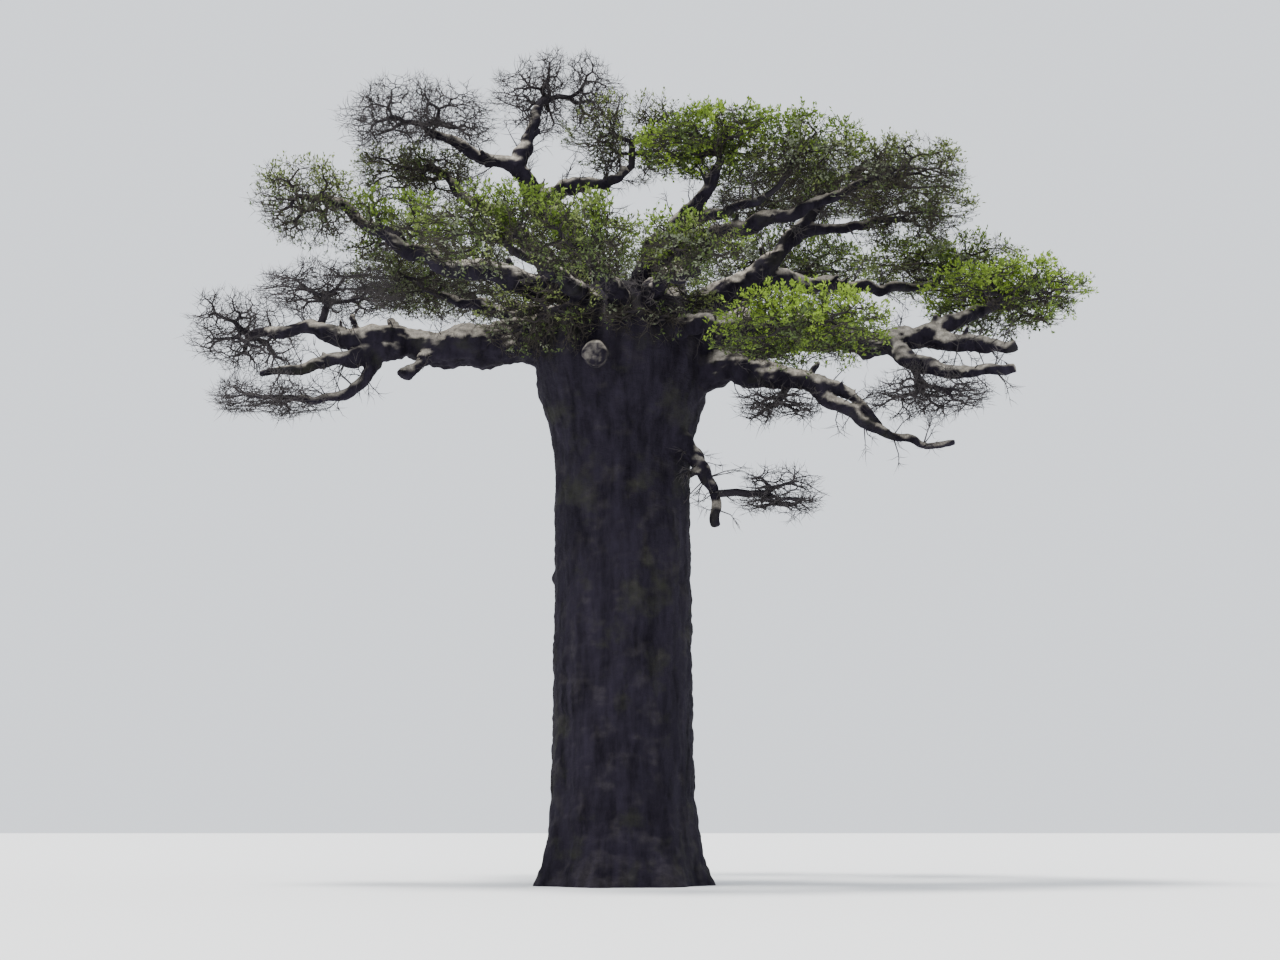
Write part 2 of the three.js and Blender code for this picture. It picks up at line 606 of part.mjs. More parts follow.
// Grows one mass. The fork rule: a twig runs part of the way to the middle of the tips that it serves and
// parts them between two twigs, until each drawn twig has its own share. A twig fills the space between its
// two rings. At a fork the ring has four corners, in a low ridge, and each of the two twigs goes on from
// three of them.
function massSolid(mass, others, limbs, placed, draw) {
  const own = limbs[mass.on];
  const foot = mass.share < 1 ? mass.foot : mass.foot.clone().addScaledVector(mass.course, SEAM);
  const tips = tipsOf(mass, others, limbs, draw);
  const course = mass.share < 1 ? middleOf(tips).sub(foot).normalize() : mass.course;
  const rootRadius = mass.share < 1 ? SIDE_STEM_RADIUS : limbRadius(own.girth, 1) * 0.9;
  const stem = foot.clone().addScaledVector(course, STEM_STRAIGHT * rootRadius);
  const radiusFor = (carries) => Math.max(THINNEST_TWIG, rootRadius * (carries / tips.length) ** TWIG_TAPER);
  const near = placed.filter((solid) => boxesMeet(solid, mass.room));
  const blocked = (from, to, radius) => {
    const onward = to.clone().sub(from).normalize();
    const rod = tube([from.clone().addScaledVector(onward, 2 * radius), to], [radius, radius], 3);
    return near.some((solid) => {
      const isRootOfStem = solid === own.solid && from === stem;
      return !isRootOfStem && boxesMeet(solid, rod) && solid.minGap(rod, 2) < 1;
    });
  };
  const pieces = [];
  const hullOf = (corners) => solidOf(new ConvexGeometry(corners));

  // Fills on from the end of a piece. Where the two would only touch, the new one is rooted inside the other.
  const fill = (before, rear, from, corners) => {
    const flush = hullOf(corners);
    const fuses = !before || before.add(flush).decompose().length === 1;
    const piece = fuses ? flush : hullOf([...corners, from.clone().lerp(rear, TWIG_ROOT)]);
    pieces.push(piece);
    return piece;
  };

  const endTwig = (before, base, rear, from, served) => {
    const tip = furthestFrom(from, served);
    const length = tip.distanceTo(from);
    const leaf = Math.min(LEAF_LENGTH * mix(0.85, 1.15, draw()), length * 0.8);
    const leafy = draw() < LEAFY_SHARE[mass.leaves];
    if (length < LEAF_WIDTH || blocked(from, tip, leafy ? LEAF_WIDTH / 2 : THINNEST_TWIG)) return;
    const neck = from.clone().lerp(tip, leafy ? 1 - leaf / length : 0.6);
    const ring = triangleAt(neck, tip.clone().sub(from).normalize(), THINNEST_TWIG);
    const twig = fill(before, rear, from, [...base, ...ring]);
    fill(twig, from, neck, [...ring, ...(leafy ? leafRing(neck, tip, draw) : []), tip]);
  };

  const grow = (before, base, rear, from, served, drawn) => {
    if (drawn === 1 || served.length === 1) {
      endTwig(before, base, rear, from, served);
      return;
    }
    const fork = from.clone().lerp(middleOf(served), FORK_REACH);
    const radius = radiusFor(served.length);
    if (blocked(from, fork, radius)) return;
    const [more, fewer] = partTips(fork, served);
    const toMore = middleOf(more).sub(fork).normalize();
    const toFewer = middleOf(fewer).sub(fork).normalize();
    const incoming = fork.clone().sub(from).normalize();
    const axis = toMore.clone().add(toFewer).multiplyScalar(0.5).add(incoming).normalize();
    const apart = toFewer.clone().sub(toMore);
    const sideways = apart.addScaledVector(axis, -apart.dot(axis)).normalize();
    const upright = axis.clone().cross(sideways);
    const lean = radius * (more.length / served.length - 0.5);
    const corner = (x, y, z) =>
      fork.clone().addScaledVector(sideways, x).addScaledVector(upright, y).addScaledVector(axis, z);
    const ridge = [corner(lean, radius, radius * FORK_RIDGE), corner(lean, -radius, radius * FORK_RIDGE)];
    const sideOfFewer = corner(radius, 0, 0);
    const sideOfMore = corner(-radius, 0, 0);
    const twig = fill(before, rear, from, [...base, ...ridge, sideOfFewer, sideOfMore]);
    const drawnMore = Math.min(drawn - 1, Math.round((drawn * more.length) / served.length));
    grow(twig, [...ridge, sideOfMore], from, fork, more, drawnMore);
    grow(twig, [...ridge, sideOfFewer], from, fork, fewer, drawn - drawnMore);
  };

  const bend = middleOf(tips).sub(stem).normalize().add(course).normalize();
  const collar = triangleAt(stem, bend, rootRadius);
  const root = fill(null, foot, foot, [...triangleAt(foot, course, rootRadius), ...collar]);
  grow(root, collar, foot, stem, tips, TWIGS_DRAWN[mass.leaves]);
  const fused = wasm.Manifold.union(pieces);
  return mainBody(mass.share < 1 ? fused.subtract(own.fat) : fused);
}

// Assembly.
const placed = [];
const fat = [];
const tree = new THREE.Group();

function addNode(name, solid, material) {
  const mesh = new THREE.Mesh(geometryOf(solid), material);
  mesh.name = name;
  tree.add(mesh);
  placed.push(solid);
}

const stubFoot = onTrunk(FRONT_STUB);
const trunkWithStub = (grow) => trunkSolid(grow).add(snagSolid(stubFoot, FRONT_STUB, grow));
addNode("trunk", mainBody(trunkWithStub(0)), MATERIALS.bark);
fat.push(trunkWithStub(SEAM));

const limbs = {};
Object.entries(LIMBS).forEach(([name, limb], i) => {
  const start = limb.from ? alongPath(limbs[limb.from].path, limb.at) : onTrunk(limb);
  const path = limbPath(start, limb, drawsFrom(i + 1));
  const made = { ...limb, path };
  const whole = (grow) => {
    const plain = limbSolid(made, grow);
    return limb.snag ? plain.add(snagSolid(alongPath(path, limb.snag.at), limb.snag, grow)) : plain;
  };
  const inTheWay = fat.filter((other) => boxesMeet(whole(0), other));
  made.solid = mainBody(inTheWay.reduce((solid, other) => solid.subtract(other), whole(0)));
  made.fat = whole(SEAM);
  limbs[name] = made;
  fat.push(made.fat);
  addNode("bough_" + name, made.solid, MATERIALS.bark);
});

const masses = Object.entries(MASSES).map(([name, mass]) => ({ name, ...placeMass(mass, limbs) }));
masses.forEach((mass, i) => {
  const size = 2 * Math.max(mass.long, mass.wide) + 2 * LEAF_LENGTH;
  const room = new THREE.BoxGeometry(size, size, 2 * mass.high + 2 * LEAF_LENGTH);
  room.translate(mass.centre.x, mass.centre.y, mass.centre.z);
  mass.room = solidOf(room);
  const others = masses.filter((other) => other !== mass);
  addNode(mass.name, massSolid(mass, others, limbs, placed, drawsFrom(100 + i)), MATERIALS[mass.leaves]);
});

export default tree;
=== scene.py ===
"""A big old baobab of the dry forest: bark with its relief over the trunk and boughs, fine twigs that grow on
from the boughs, and leaves in sprays at the twig ends. Metres, +Z up, with the origin in the middle of the
flat cut at ground level. Bearings and headings are degrees seen from above: 0 is right, 90 back, 180 left and
270 front. Climbs are degrees above the horizontal."""
import functools
import math

import bpy
import numpy as np
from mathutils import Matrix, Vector, noise


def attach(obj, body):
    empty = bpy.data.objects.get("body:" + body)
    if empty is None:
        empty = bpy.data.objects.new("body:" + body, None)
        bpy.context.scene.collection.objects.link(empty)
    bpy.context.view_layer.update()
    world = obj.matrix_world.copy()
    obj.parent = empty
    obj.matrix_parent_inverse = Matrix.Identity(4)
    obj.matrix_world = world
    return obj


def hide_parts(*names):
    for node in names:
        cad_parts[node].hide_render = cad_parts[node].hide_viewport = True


bl_info = {
    "name": "Baobab tree",
    "version": (1, 0, 0),
    "blender": (4, 5, 0),
    "location": "3D View > Sidebar > Baobab",
    "description": "Bark, twigs and leaves for a standing baobab",
    "category": "Add Mesh",
}

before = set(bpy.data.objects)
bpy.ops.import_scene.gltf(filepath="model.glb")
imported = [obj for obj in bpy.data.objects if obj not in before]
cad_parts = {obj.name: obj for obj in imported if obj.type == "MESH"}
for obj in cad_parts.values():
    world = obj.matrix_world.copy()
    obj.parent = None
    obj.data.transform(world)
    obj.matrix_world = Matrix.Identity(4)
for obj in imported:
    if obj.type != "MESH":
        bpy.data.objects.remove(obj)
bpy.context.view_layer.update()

# The trunk's own sizes.
SHAFT_RADIUS = 1.92
ROOT_FLARE = 0.42
ROOT_FLARE_HEIGHT = 1.1
ROOT_LOBES = 7
ROOT_LOBE_DEPTH = 0.07  # share of the radius
ROOT_LOBE_TURN = 0.6  # radians
FLUTES = 9
FLUTE_DEPTH = 0.012  # share of the radius
SHOULDER_SWELL = 0.56
SHOULDER_START = 11.6
HEAD_HEIGHT = 14.5
TRUNK_TOP = 16.9
HEAD_ROUNDING = 0.96  # the nearer to 1, the smaller the flat on top of the head
BELOW_CUT = 0.4  # the trunk is made this much too deep, then cut flat at the ground

# How limbs are made.
LIMB_STEPS = 7
CROOK = 14  # degrees by which each step of a limb may stray from its course
TAPER = 1.3  # above 1, a limb thins fastest near its root

# How a mass of twigs is made.
MASS_SEED = 100  # of the first mass
TIPS_PER_SQUARE_METRE = 88
TIP_ROUNDS = 6  # of draws at most, to find the tips that a mass wants
TIP_DEPTH_POWER = 0.45  # the smaller, the more of the tips lie near a mass's skin
CLUMP_SPACING = (1.5, 1.5, 0.8)  # ahead, aside and upwards
CLUMP_FLOOR = -0.1  # twigs end only where the clump waves stand above this
FORK_REACH = 0.5  # a twig runs this share of the way to the middle of what it serves
FORK_COURSE_BIAS = 1.1  # the nearer to 1, the less often a fork parts its tips along its course
FORK_SHARES = (0.36, 0.28)  # the least share of the tips on one side of a fork, and how far it varies
FORK_STEP = 0.618  # makes that share vary with the number of tips
TWIG_TAPER = 0.41  # a twig's radius goes by this power of the tips that it carries
BARK_CLEARANCE = 0.16  # twig ends keep this far from the bark of a limb
UNDERSIDE = 0.72  # a mass's usual depth below its middle, as a share of its height above
SIDE_STEM_RADIUS = 0.11  # of a mass that stands on the side of a limb
TIP_STEM_SHARE = 0.9  # the stem of a mass on a limb's tip has this share of the tip's radius
STEM_STRAIGHT = 1.5  # a stem goes straight on from its limb for this many radii
STEM_SUNK = 0.25  # a stem starts this far back inside its limb
OWN_STEPS = 3  # the first steps of a stem lie in its own limb
CROOKED_FROM = 0.4  # a twig longer than this bends on its way
TWIG_CROOK = 0.09  # by this share of its length
CROOK_PLACE = (0.35, 0.65)  # shares of its length
CLUMP_TIPS = 14  # twig ends that share one clump of leaves
LIMBS_AROUND = 2.5  # limbs this far beyond a mass's half length may still trim its twigs
SNAP_LENGTH = 2  # a trimmed twig runs on to a point over this many radii
BATCH = 4000  # points whose gaps are worked out at a time
UP = np.array([0, 0, 1])

# The limbs. Each starts at a height and bearing on the trunk, or at a share of the length of another limb.
# heading is its first and last direction, climb its first, middle and last, girth its first and last radius.
LIMBS = {
    "left_low": dict(
        height=15.0, bearing=185, out=1.2, heading=(196, 172), climb=(0, 3, 14), length=9.3,
        girth=(0.88, 0.15),
        snag=dict(at=0.44, heading=205, climb=-38, length=1.35, girth=(0.21, 0.15)),
    ),
    "left_arm": dict(
        on="left_low", at=0.55, heading=(206, 190), climb=(-24, -16, 2), length=4.3,
        girth=(0.37, 0.08),
    ),
    "left_drop": dict(
        on="left_arm", at=0.22, heading=(200, 192), climb=(-88, -34, -2), length=3.0,
        girth=(0.21, 0.09),
    ),
    "left_high": dict(
        height=16.0, bearing=220, out=0.9, heading=(222, 190), climb=(16, 2, 30), length=8.7,
        girth=(0.48, 0.12),
    ),
    "left_back": dict(
        height=15.7, bearing=150, out=1.1, heading=(146, 172), climb=(26, 12, 14), length=5.4,
        girth=(0.43, 0.12),
    ),
    "upper_left": dict(
        height=16.2, bearing=165, out=0.9, heading=(164, 190), climb=(52, 34, 38), length=6.6,
        girth=(0.46, 0.12),
    ),
    "top": dict(
        height=16.3, bearing=190, out=0.6, heading=(178, 202), climb=(66, 48, 6), length=7.4,
        girth=(0.54, 0.12),
    ),
    "top_leader": dict(
        on="top", at=0.66, heading=(10, 0), climb=(50, 72, 60), length=2.2, girth=(0.29, 0.13),
    ),
    "top_right": dict(
        on="top", at=0.48, heading=(-34, 8), climb=(42, 2, 50), length=2.9, girth=(0.3, 0.12),
    ),
    "centre_right": dict(
        height=16.1, bearing=310, out=0.9, heading=(288, 322), climb=(60, 36, 50), length=5.0,
        girth=(0.5, 0.13),
    ),
    "centre_right_fork": dict(
        on="centre_right", at=0.5, heading=(336, 330), climb=(16, 8, 20), length=3.0,
        girth=(0.22, 0.09),
    ),
    "right_level": dict(
        on="centre_right", at=0.36, heading=(344, 346), climb=(14, 0, 26), length=6.2,
        girth=(0.32, 0.11),
    ),
    "hook": dict(
        height=16.2, bearing=25, out=1.8, heading=(104, 22), climb=(80, 40, 14), length=6.4,
        girth=(0.4, 0.12),
    ),
    "right_high": dict(
        height=15.7, bearing=352, out=1.5, heading=(356, 352), climb=(24, 38, 62), length=5.7,
        girth=(0.54, 0.15),
    ),
    "right_high_arm": dict(
        on="right_high", at=0.72, heading=(348, 346), climb=(20, 0, 4), length=3.2,
        girth=(0.2, 0.09),
    ),
    "right_mid": dict(
        on="right_high", at=0.37, heading=(14, 32), climb=(26, 4, 20), length=6.7,
        girth=(0.34, 0.11),
    ),
    "right": dict(
        height=15.2, bearing=348, out=1.5, heading=(352, 4), climb=(-8, 2, 32), length=9.0,
        girth=(0.82, 0.18),
    ),
    "right_stub": dict(
        on="right", at=0.8, heading=(346, 345), climb=(-30, -14, 16), length=2.7,
        girth=(0.3, 0.15),
    ),
    "right_stub_low": dict(
        on="right", at=0.66, heading=(334, 348), climb=(-38, -26, 12), length=4.1,
        girth=(0.3, 0.13),
    ),
    "right_low": dict(
        height=14.1, bearing=345, out=1.3, heading=(343, 346), climb=(0, -14, -50), length=6.6,
        girth=(0.72, 0.07),
    ),
    "right_low_fork": dict(
        on="right_low", at=0.4, heading=(2, 342), climb=(10, -36, 26), length=6.1,
        girth=(0.29, 0.07),
    ),
    "low_right": dict(
        height=12.5, bearing=322, out=1.5, heading=(352, 350), climb=(-40, -56, -86), length=3.3,
        girth=(0.34, 0.11),
    ),
    "front_right": dict(
        height=15.0, bearing=312, out=1.4, heading=(310, 316), climb=(-2, -8, -18), length=4.6,
        girth=(0.36, 0.12),
    ),
    "front_left": dict(
        height=15.7, bearing=244, out=1.0, heading=(236, 250), climb=(10, 2, 2), length=5.5,
        girth=(0.4, 0.12),
    ),
    "front": dict(
        height=15.7, bearing=264, out=1.0, heading=(264, 262), climb=(8, 0, 0), length=5.1,
        girth=(0.38, 0.12),
    ),
    "front_centre": dict(
        height=15.8, bearing=284, out=0.9, heading=(282, 288), climb=(14, 4, 0), length=5.0,
        girth=(0.38, 0.12),
    ),
    "back_right": dict(
        height=15.6, bearing=45, out=1.1, heading=(42, 56), climb=(32, 24, 16), length=6.7,
        girth=(0.5, 0.13),
    ),
    "back": dict(
        height=15.7, bearing=90, out=1.0, heading=(84, 96), climb=(34, 24, 12), length=6.6,
        girth=(0.5, 0.13),
    ),
    "back_left": dict(
        height=15.6, bearing=128, out=1.1, heading=(122, 138), climb=(32, 22, 14), length=6.7,
        girth=(0.48, 0.13),
    ),
}

# The masses. Each stands on a limb's tip, or at a share of the limb's length. ahead, aside and lift place
# its middle from there along the limb's last heading, to the left of it and upwards. long, wide and high are
# its half sizes, and under is its depth below the middle as a share of high. leaves says what its twigs
# carry: fresh, olive, sparse or bare.
MASSES = {
    "twigs_left_tip": dict(
        on="left_low", ahead=0.7, lift=-0.05, long=1.6, wide=2.2, high=1.35, under=0.9,
        leaves="bare",
    ),
    "twigs_left_rise": dict(
        on="left_low", at=0.82, ahead=-0.3, lift=1.0, long=2.3, wide=2.1, high=1.0, leaves="bare",
    ),
    "twigs_left_drop": dict(
        on="left_drop", ahead=0.7, lift=-0.05, long=1.8, wide=1.6, high=0.75, under=0.7,
        leaves="bare",
    ),
    "twigs_left_high": dict(
        on="left_high", ahead=0.45, lift=-0.2, long=1.6, wide=2.5, high=1.05, under=1,
        leaves="sparse",
    ),
    "leaves_left_high": dict(
        on="left_high", at=0.68, ahead=0.65, lift=0.6, long=1.9, wide=2.3, high=0.85, under=0.9,
        leaves="olive",
    ),
    "twigs_left_back": dict(
        on="left_back", ahead=0.7, lift=0.3, long=2.2, wide=2.8, high=1.15, under=0.7,
        leaves="sparse",
    ),
    "twigs_upper_left": dict(
        on="upper_left", ahead=0.55, lift=0.05, long=2.0, wide=2.8, high=1.0, under=1,
        leaves="sparse",
    ),
    "twigs_top_left": dict(
        on="top", ahead=0.4, lift=0.25, long=2.45, wide=2.7, high=1.15, under=1, leaves="bare",
    ),
    "twigs_top": dict(
        on="top_leader", ahead=0.6, aside=0.8, lift=0.65, long=2.15, wide=2.4, high=1.15,
        under=0.8, leaves="bare",
    ),
    "leaves_top_right": dict(
        on="top_right", ahead=0.1, lift=0.85, long=2.05, wide=2.6, high=1.1, under=0.9,
        leaves="sparse",
    ),
    "leaves_centre_right": dict(
        on="centre_right", ahead=0.1, lift=0.45, long=2.4, wide=2.3, high=0.85, under=0.9,
        leaves="fresh",
    ),
    "leaves_centre_fork": dict(
        on="centre_right_fork", ahead=0.9, lift=0.9, long=2.1, wide=2.3, high=1.05, under=0.8,
        leaves="olive",
    ),
    "leaves_right_level": dict(
        on="right_level", ahead=0.8, lift=-0.05, long=2.0, wide=2.3, high=0.9, under=0.9,
        leaves="sparse",
    ),
    "leaves_hook": dict(on="hook", ahead=0.9, lift=0.8, long=2.6, wide=2.6, high=1.0, leaves="sparse"),
    "leaves_right_high": dict(
        on="right_high", ahead=0.6, lift=0.45, long=2.3, wide=2.5, high=0.95, under=0.8,
        leaves="sparse",
    ),
    "twigs_right_arm": dict(
        on="right_high_arm", ahead=0.3, lift=0.15, long=2.0, wide=2.5, high=0.9, under=0.9,
        leaves="sparse",
    ),
    "leaves_right_mid": dict(
        on="right_mid", ahead=0.2, lift=0.45, long=2.5, wide=2.8, high=0.9, under=0.8,
        leaves="olive",
    ),
    "leaves_right": dict(
        on="right", ahead=0.7, lift=0.4, long=2.45, wide=2.7, high=0.95, under=0.9,
        leaves="fresh",
    ),
    "twigs_right_hang": dict(
        on="right_stub_low", at=0.25, ahead=0.5, lift=-1.1, long=1.9, wide=1.7, high=0.95,
        under=0.8, leaves="bare",
    ),
    "twigs_right_low": dict(
        on="right_low", at=0.56, ahead=-0.45, lift=-0.75, long=1.35, wide=1.5, high=0.75,
        under=0.8, leaves="bare",
    ),
    "twigs_low_right": dict(
        on="low_right", at=0.72, ahead=1.85, lift=-0.2, long=1.3, wide=1.3, high=1.0,
        leaves="bare",
    ),
    "leaves_front_right": dict(
        on="front_right", ahead=0.7, aside=0.3, lift=-0.15, long=2.5, wide=2.5, high=1.05,
        under=0.8, leaves="fresh",
    ),
    "twigs_collar_left": dict(
        on="front_left", at=0.26, ahead=0, aside=-0.9, lift=-0.35, long=1.3, wide=2.3, high=1.2,
        under=1.1, leaves="sparse",
    ),
    "twigs_collar_right": dict(
        on="front_centre", at=0.24, ahead=0.1, aside=0.1, lift=-0.35, long=1.3, wide=2.2,
        high=1.15, under=1.1, leaves="sparse",
    ),
    "leaves_front_left": dict(
        on="front_left", ahead=0.9, lift=0.2, long=2.5, wide=2.5, high=1.05, under=0.8,
        leaves="olive",
    ),
    "leaves_front": dict(
        on="front", ahead=1.2, lift=0.25, long=2.4, wide=1.9, high=1.0, under=0.8, leaves="olive",
    ),
    "leaves_front_centre": dict(
        on="front_centre", ahead=0.9, aside=-0.9, lift=0.2, long=2.0, wide=1.7, high=0.85,
        under=0.8, leaves="olive",
    ),
    "leaves_back_right": dict(
        on="back_right", ahead=1.2, lift=0.7, long=3.0, wide=3.0, high=1.15, leaves="olive",
    ),
    "leaves_back": dict(on="back", ahead=1.2, lift=0.7, long=3.0, wide=3.1, high=1.2, leaves="olive"),
    "twigs_back_left": dict(
        on="back_left", ahead=1.2, lift=0.6, long=3.0, wide=3.0, high=1.2, leaves="sparse",
    ),
}

# The broken bough stub on the front of the trunk's head.
FRONT_STUB = dict(
    height=14.5, bearing=248, out=1.5, heading=262, climb=-14, length=1.5, girth=(0.42, 0.33),
)

KINDS = ("bare", "sparse", "olive", "fresh")


def draws_from(seed):
    """Seeded draws from 0 to 1, the same ones on every run."""
    modulus, multiplier = 2147483647, 48271
    state = (seed * 7919 + 104729) % modulus  # primes that set neighbouring seeds far apart
    while True:
        state = state * multiplier % modulus
        yield state / modulus


def mix(a, b, t):
    """The value a share t of the way from a to b."""
    return a + (b - a) * t


def through(course, t):
    """A smooth course through a first, middle and last value."""
    first, middle, last = course
    return first * (1 - t) * (1 - 2 * t) + middle * 4 * t * (1 - t) + last * t * (2 * t - 1)


def smooth(t):
    """A soft step from 0 to 1 as t goes from 0 to 1."""
    held = np.clip(t, 0, 1)
    return held * held * (3 - 2 * held)


def unit(vectors):
    return vectors / np.maximum(np.linalg.norm(vectors, axis=-1, keepdims=True), 1e-9)


def any_ways(chance, shape=()):
    """Random directions, one for each entry of the shape."""
    return unit(chance.normal(size=(*shape, 3)))


def slanting(course, lean, lift, chance):
    """Random ways out sideways from each course, leant ahead along it and lifted."""
    across = unit(np.cross(course, any_ways(chance, np.shape(course)[:-1])))
    return unit(across + lean * course + lift * UP)


def direction(heading, climb):
    """The unit vector of a heading and a climb in degrees."""
    h, c = math.radians(heading), math.radians(climb)
    return np.array([math.cos(h) * math.cos(c), math.sin(h) * math.cos(c), math.sin(c)])


def trunk_radius(height, bearing):
    """The trunk's radius at a height: its root flare, lobes, flutes, swollen shoulder and rounded head."""
    flare = np.exp(-height / ROOT_FLARE_HEIGHT)
    swell = smooth((height - SHOULDER_START) / (HEAD_HEIGHT - SHOULDER_START))
    over = np.clip(height - HEAD_HEIGHT, 0, TRUNK_TOP - HEAD_HEIGHT) / (TRUNK_TOP - HEAD_HEIGHT)
    plain = SHAFT_RADIUS + ROOT_FLARE * flare + SHOULDER_SWELL * swell
    lobes = ROOT_LOBE_DEPTH * flare * np.cos(ROOT_LOBES * bearing + ROOT_LOBE_TURN)
    flutes = FLUTE_DEPTH * np.cos(FLUTES * bearing + height / SHOULDER_START)
    return plain * (1 + lobes + flutes) * np.sqrt(1 - HEAD_ROUNDING * over * over)


def gap_to_trunk(points):
    """How far points lie outside the trunk's bark, below nought inside it."""
    x, y, z = points.T
    beside = np.hypot(x, y) - trunk_radius(np.minimum(z, TRUNK_TOP), np.arctan2(y, x))
    return np.maximum(beside, z - TRUNK_TOP)


def limb_path(start, limb, draws):
    """The nodes of a limb, a chain of steps that stray a little from a smooth course."""
    points = [start]
    first, last = limb["heading"]
    turn = (last - first + 540) % 360 - 180
    for i in range(LIMB_STEPS):
        t = (i + 0.5) / LIMB_STEPS
        way = first + turn * t + CROOK * (2 * next(draws) - 1)
        rise = through(limb["climb"], t) + CROOK * (2 * next(draws) - 1)
        points.append(points[i] + direction(way, rise) * limb["length"] / LIMB_STEPS)
    return np.array(points)


def limb_radius(limb, t):
    root, tip = limb["girth"]
    return tip + (root - tip) * (1 - t) ** TAPER


def along_path(path, share):
    """The place at a share of a path's steps."""
    place = min(share, 0.9999) * (len(path) - 1)
    i = int(place)
    return mix(path[i], path[i + 1], place - i)


def on_trunk(part):
    """Where a part that leaves the trunk starts, inside it."""
    start = direction(part["bearing"], 0) * part["out"]
    start[2] = part["height"]
    return start


@functools.cache
def grown_limbs():
    """Each limb with its path."""
    grown = {}
    for i, (name, limb) in enumerate(LIMBS.items()):
        start = along_path(grown[limb["on"]]["path"], limb["at"]) if "on" in limb else on_trunk(limb)
        grown[name] = dict(limb, path=limb_path(start, limb, draws_from(i + 1)))
    return grown


@functools.cache
def limb_steps():
    """All steps of all limbs: where each starts and ends, and its radius at the start."""
    limbs = grown_limbs().values()
    near = np.concatenate([limb["path"][:-1] for limb in limbs])
    far = np.concatenate([limb["path"][1:] for limb in limbs])
    radii = np.array([limb_radius(limb, i / LIMB_STEPS) for limb in limbs for i in range(LIMB_STEPS)])
    return near, far, radii


def gaps_to_steps(points, near, far, radii):
    """The gap from each point to the bark of each step of a limb."""
    along = far - near
    span = points[:, None, :] - near[None]
    share = np.clip((span * along).sum(-1) / (along * along).sum(-1), 0, 1)
    return np.linalg.norm(span - share[..., None] * along, axis=-1) - radii


def batches(points):
    """Slices that take the points a batch at a time, which keeps the tables of gaps small."""
    return (slice(i, i + BATCH) for i in range(0, len(points), BATCH))


def gap_to_bark(points, steps=None):
    """The gap from each point to the nearest limb or to the trunk."""
    near, far, radii = steps or limb_steps()
    gaps = gap_to_trunk(points)
    for some in batches(points):
        if len(near):
            gaps[some] = np.minimum(gaps[some], gaps_to_steps(points[some], near, far, radii).min(1))
    return gaps


@functools.cache
def placed_masses():
    """Each mass with its foot, its axes and its middle."""
    placed = []
    for name, mass in MASSES.items():
        path = grown_limbs()[mass["on"]]["path"]
        share = mass.get("at", 1)
        foot = along_path(path, share) if share < 1 else path[-1]
        course = unit(path[-1] - path[-2])
        facing = math.atan2(course[1], course[0])
        ahead = np.array([math.cos(facing), math.sin(facing), 0])
        aside = np.array([-ahead[1], ahead[0], 0])
        centre = foot + ahead * mass["ahead"] + aside * mass.get("aside", 0) + mass["lift"] * UP
        low = mass["high"] * mass.get("under", UNDERSIDE)
        placed.append(dict(mass, name=name, share=share, foot=foot, course=course, ahead=ahead,
                           aside=aside, centre=centre, low=low))
    return placed


def reach_in(mass, points):
    """How far out points lie in a mass's space, where 1 is the edge."""
    span = points - mass["centre"]
    high = np.where(span[:, 2] < 0, mass["low"], mass["high"])
    flat = np.hypot(span @ mass["ahead"] / mass["long"], span @ mass["aside"] / mass["wide"])
    return np.hypot(flat, span[:, 2] / high)


def in_clump(mass, phases, points):
    """Twig ends gather in clumps with open gaps between them, where three waves that bend one another stand
    high."""
    away = points - mass["centre"]
    parts = (away @ mass["ahead"], away @ mass["aside"], away[:, 2])
    a, b, c = (2 * math.pi * (part / gap + phase) for part, gap, phase in zip(parts, CLUMP_SPACING, phases))
    return np.sin(a + np.sin(b)) + np.sin(b + np.sin(c)) + np.sin(c + np.sin(a)) > CLUMP_FLOOR


def tips_of(mass, draws):
    """The ends of the fine twigs, spread through the mass's space and thicker towards its skin."""
    wanted = math.floor(TIPS_PER_SQUARE_METRE * math.pi * mass["long"] * mass["wide"] + 0.5)
    phases = [next(draws) for _ in range(3)]
    tips = np.zeros((0, 3))
    for _ in range(TIP_ROUNDS):
        drawn = np.array([next(draws) for _ in range(3 * wanted)]).reshape(-1, 3)
        turn = 2 * math.pi * drawn[:, 0]
        z = 2 * drawn[:, 1] - 1
        shell = drawn[:, 2] ** TIP_DEPTH_POWER
        flat = np.sqrt(1 - z * z) * shell
        high = np.where(z < 0, mass["low"], mass["high"])
        tried = mass["centre"] + np.outer(mass["long"] * flat * np.cos(turn), mass["ahead"])
        tried += np.outer(mass["wide"] * flat * np.sin(turn), mass["aside"])
        tried[:, 2] += high * z * shell
        own = reach_in(mass, tried)
        others = [reach_in(other, tried) for other in placed_masses() if other is not mass]
        kept = in_clump(mass, phases, tried) & (own < 1) & (np.min(others, axis=0) > own)
        tried = tried[kept]
        tips = np.concatenate([tips, tried[gap_to_bark(tried) > BARK_CLEARANCE]])
        if len(tips) >= wanted:
            break
    return tips[:wanted]


def part_tips(fork, tips):
    """Two shares of a cloud of tips, larger first, parted across its widest side as seen from the fork."""
    course = unit(tips.mean(0) - fork)
    spread = (tips.max(0) - tips.min(0)) * (FORK_COURSE_BIAS - np.abs(course))
    ranked = tips[np.argsort(tips[:, int(np.argmax(spread))], kind="stable")]
    least, more = FORK_SHARES
    share = least + more * ((len(tips) * FORK_STEP) % 1)
    cut = min(len(tips) - 1, max(1, math.floor(len(tips) * share + 0.5)))
    return sorted((ranked[:cut], ranked[cut:]), key=len, reverse=True)


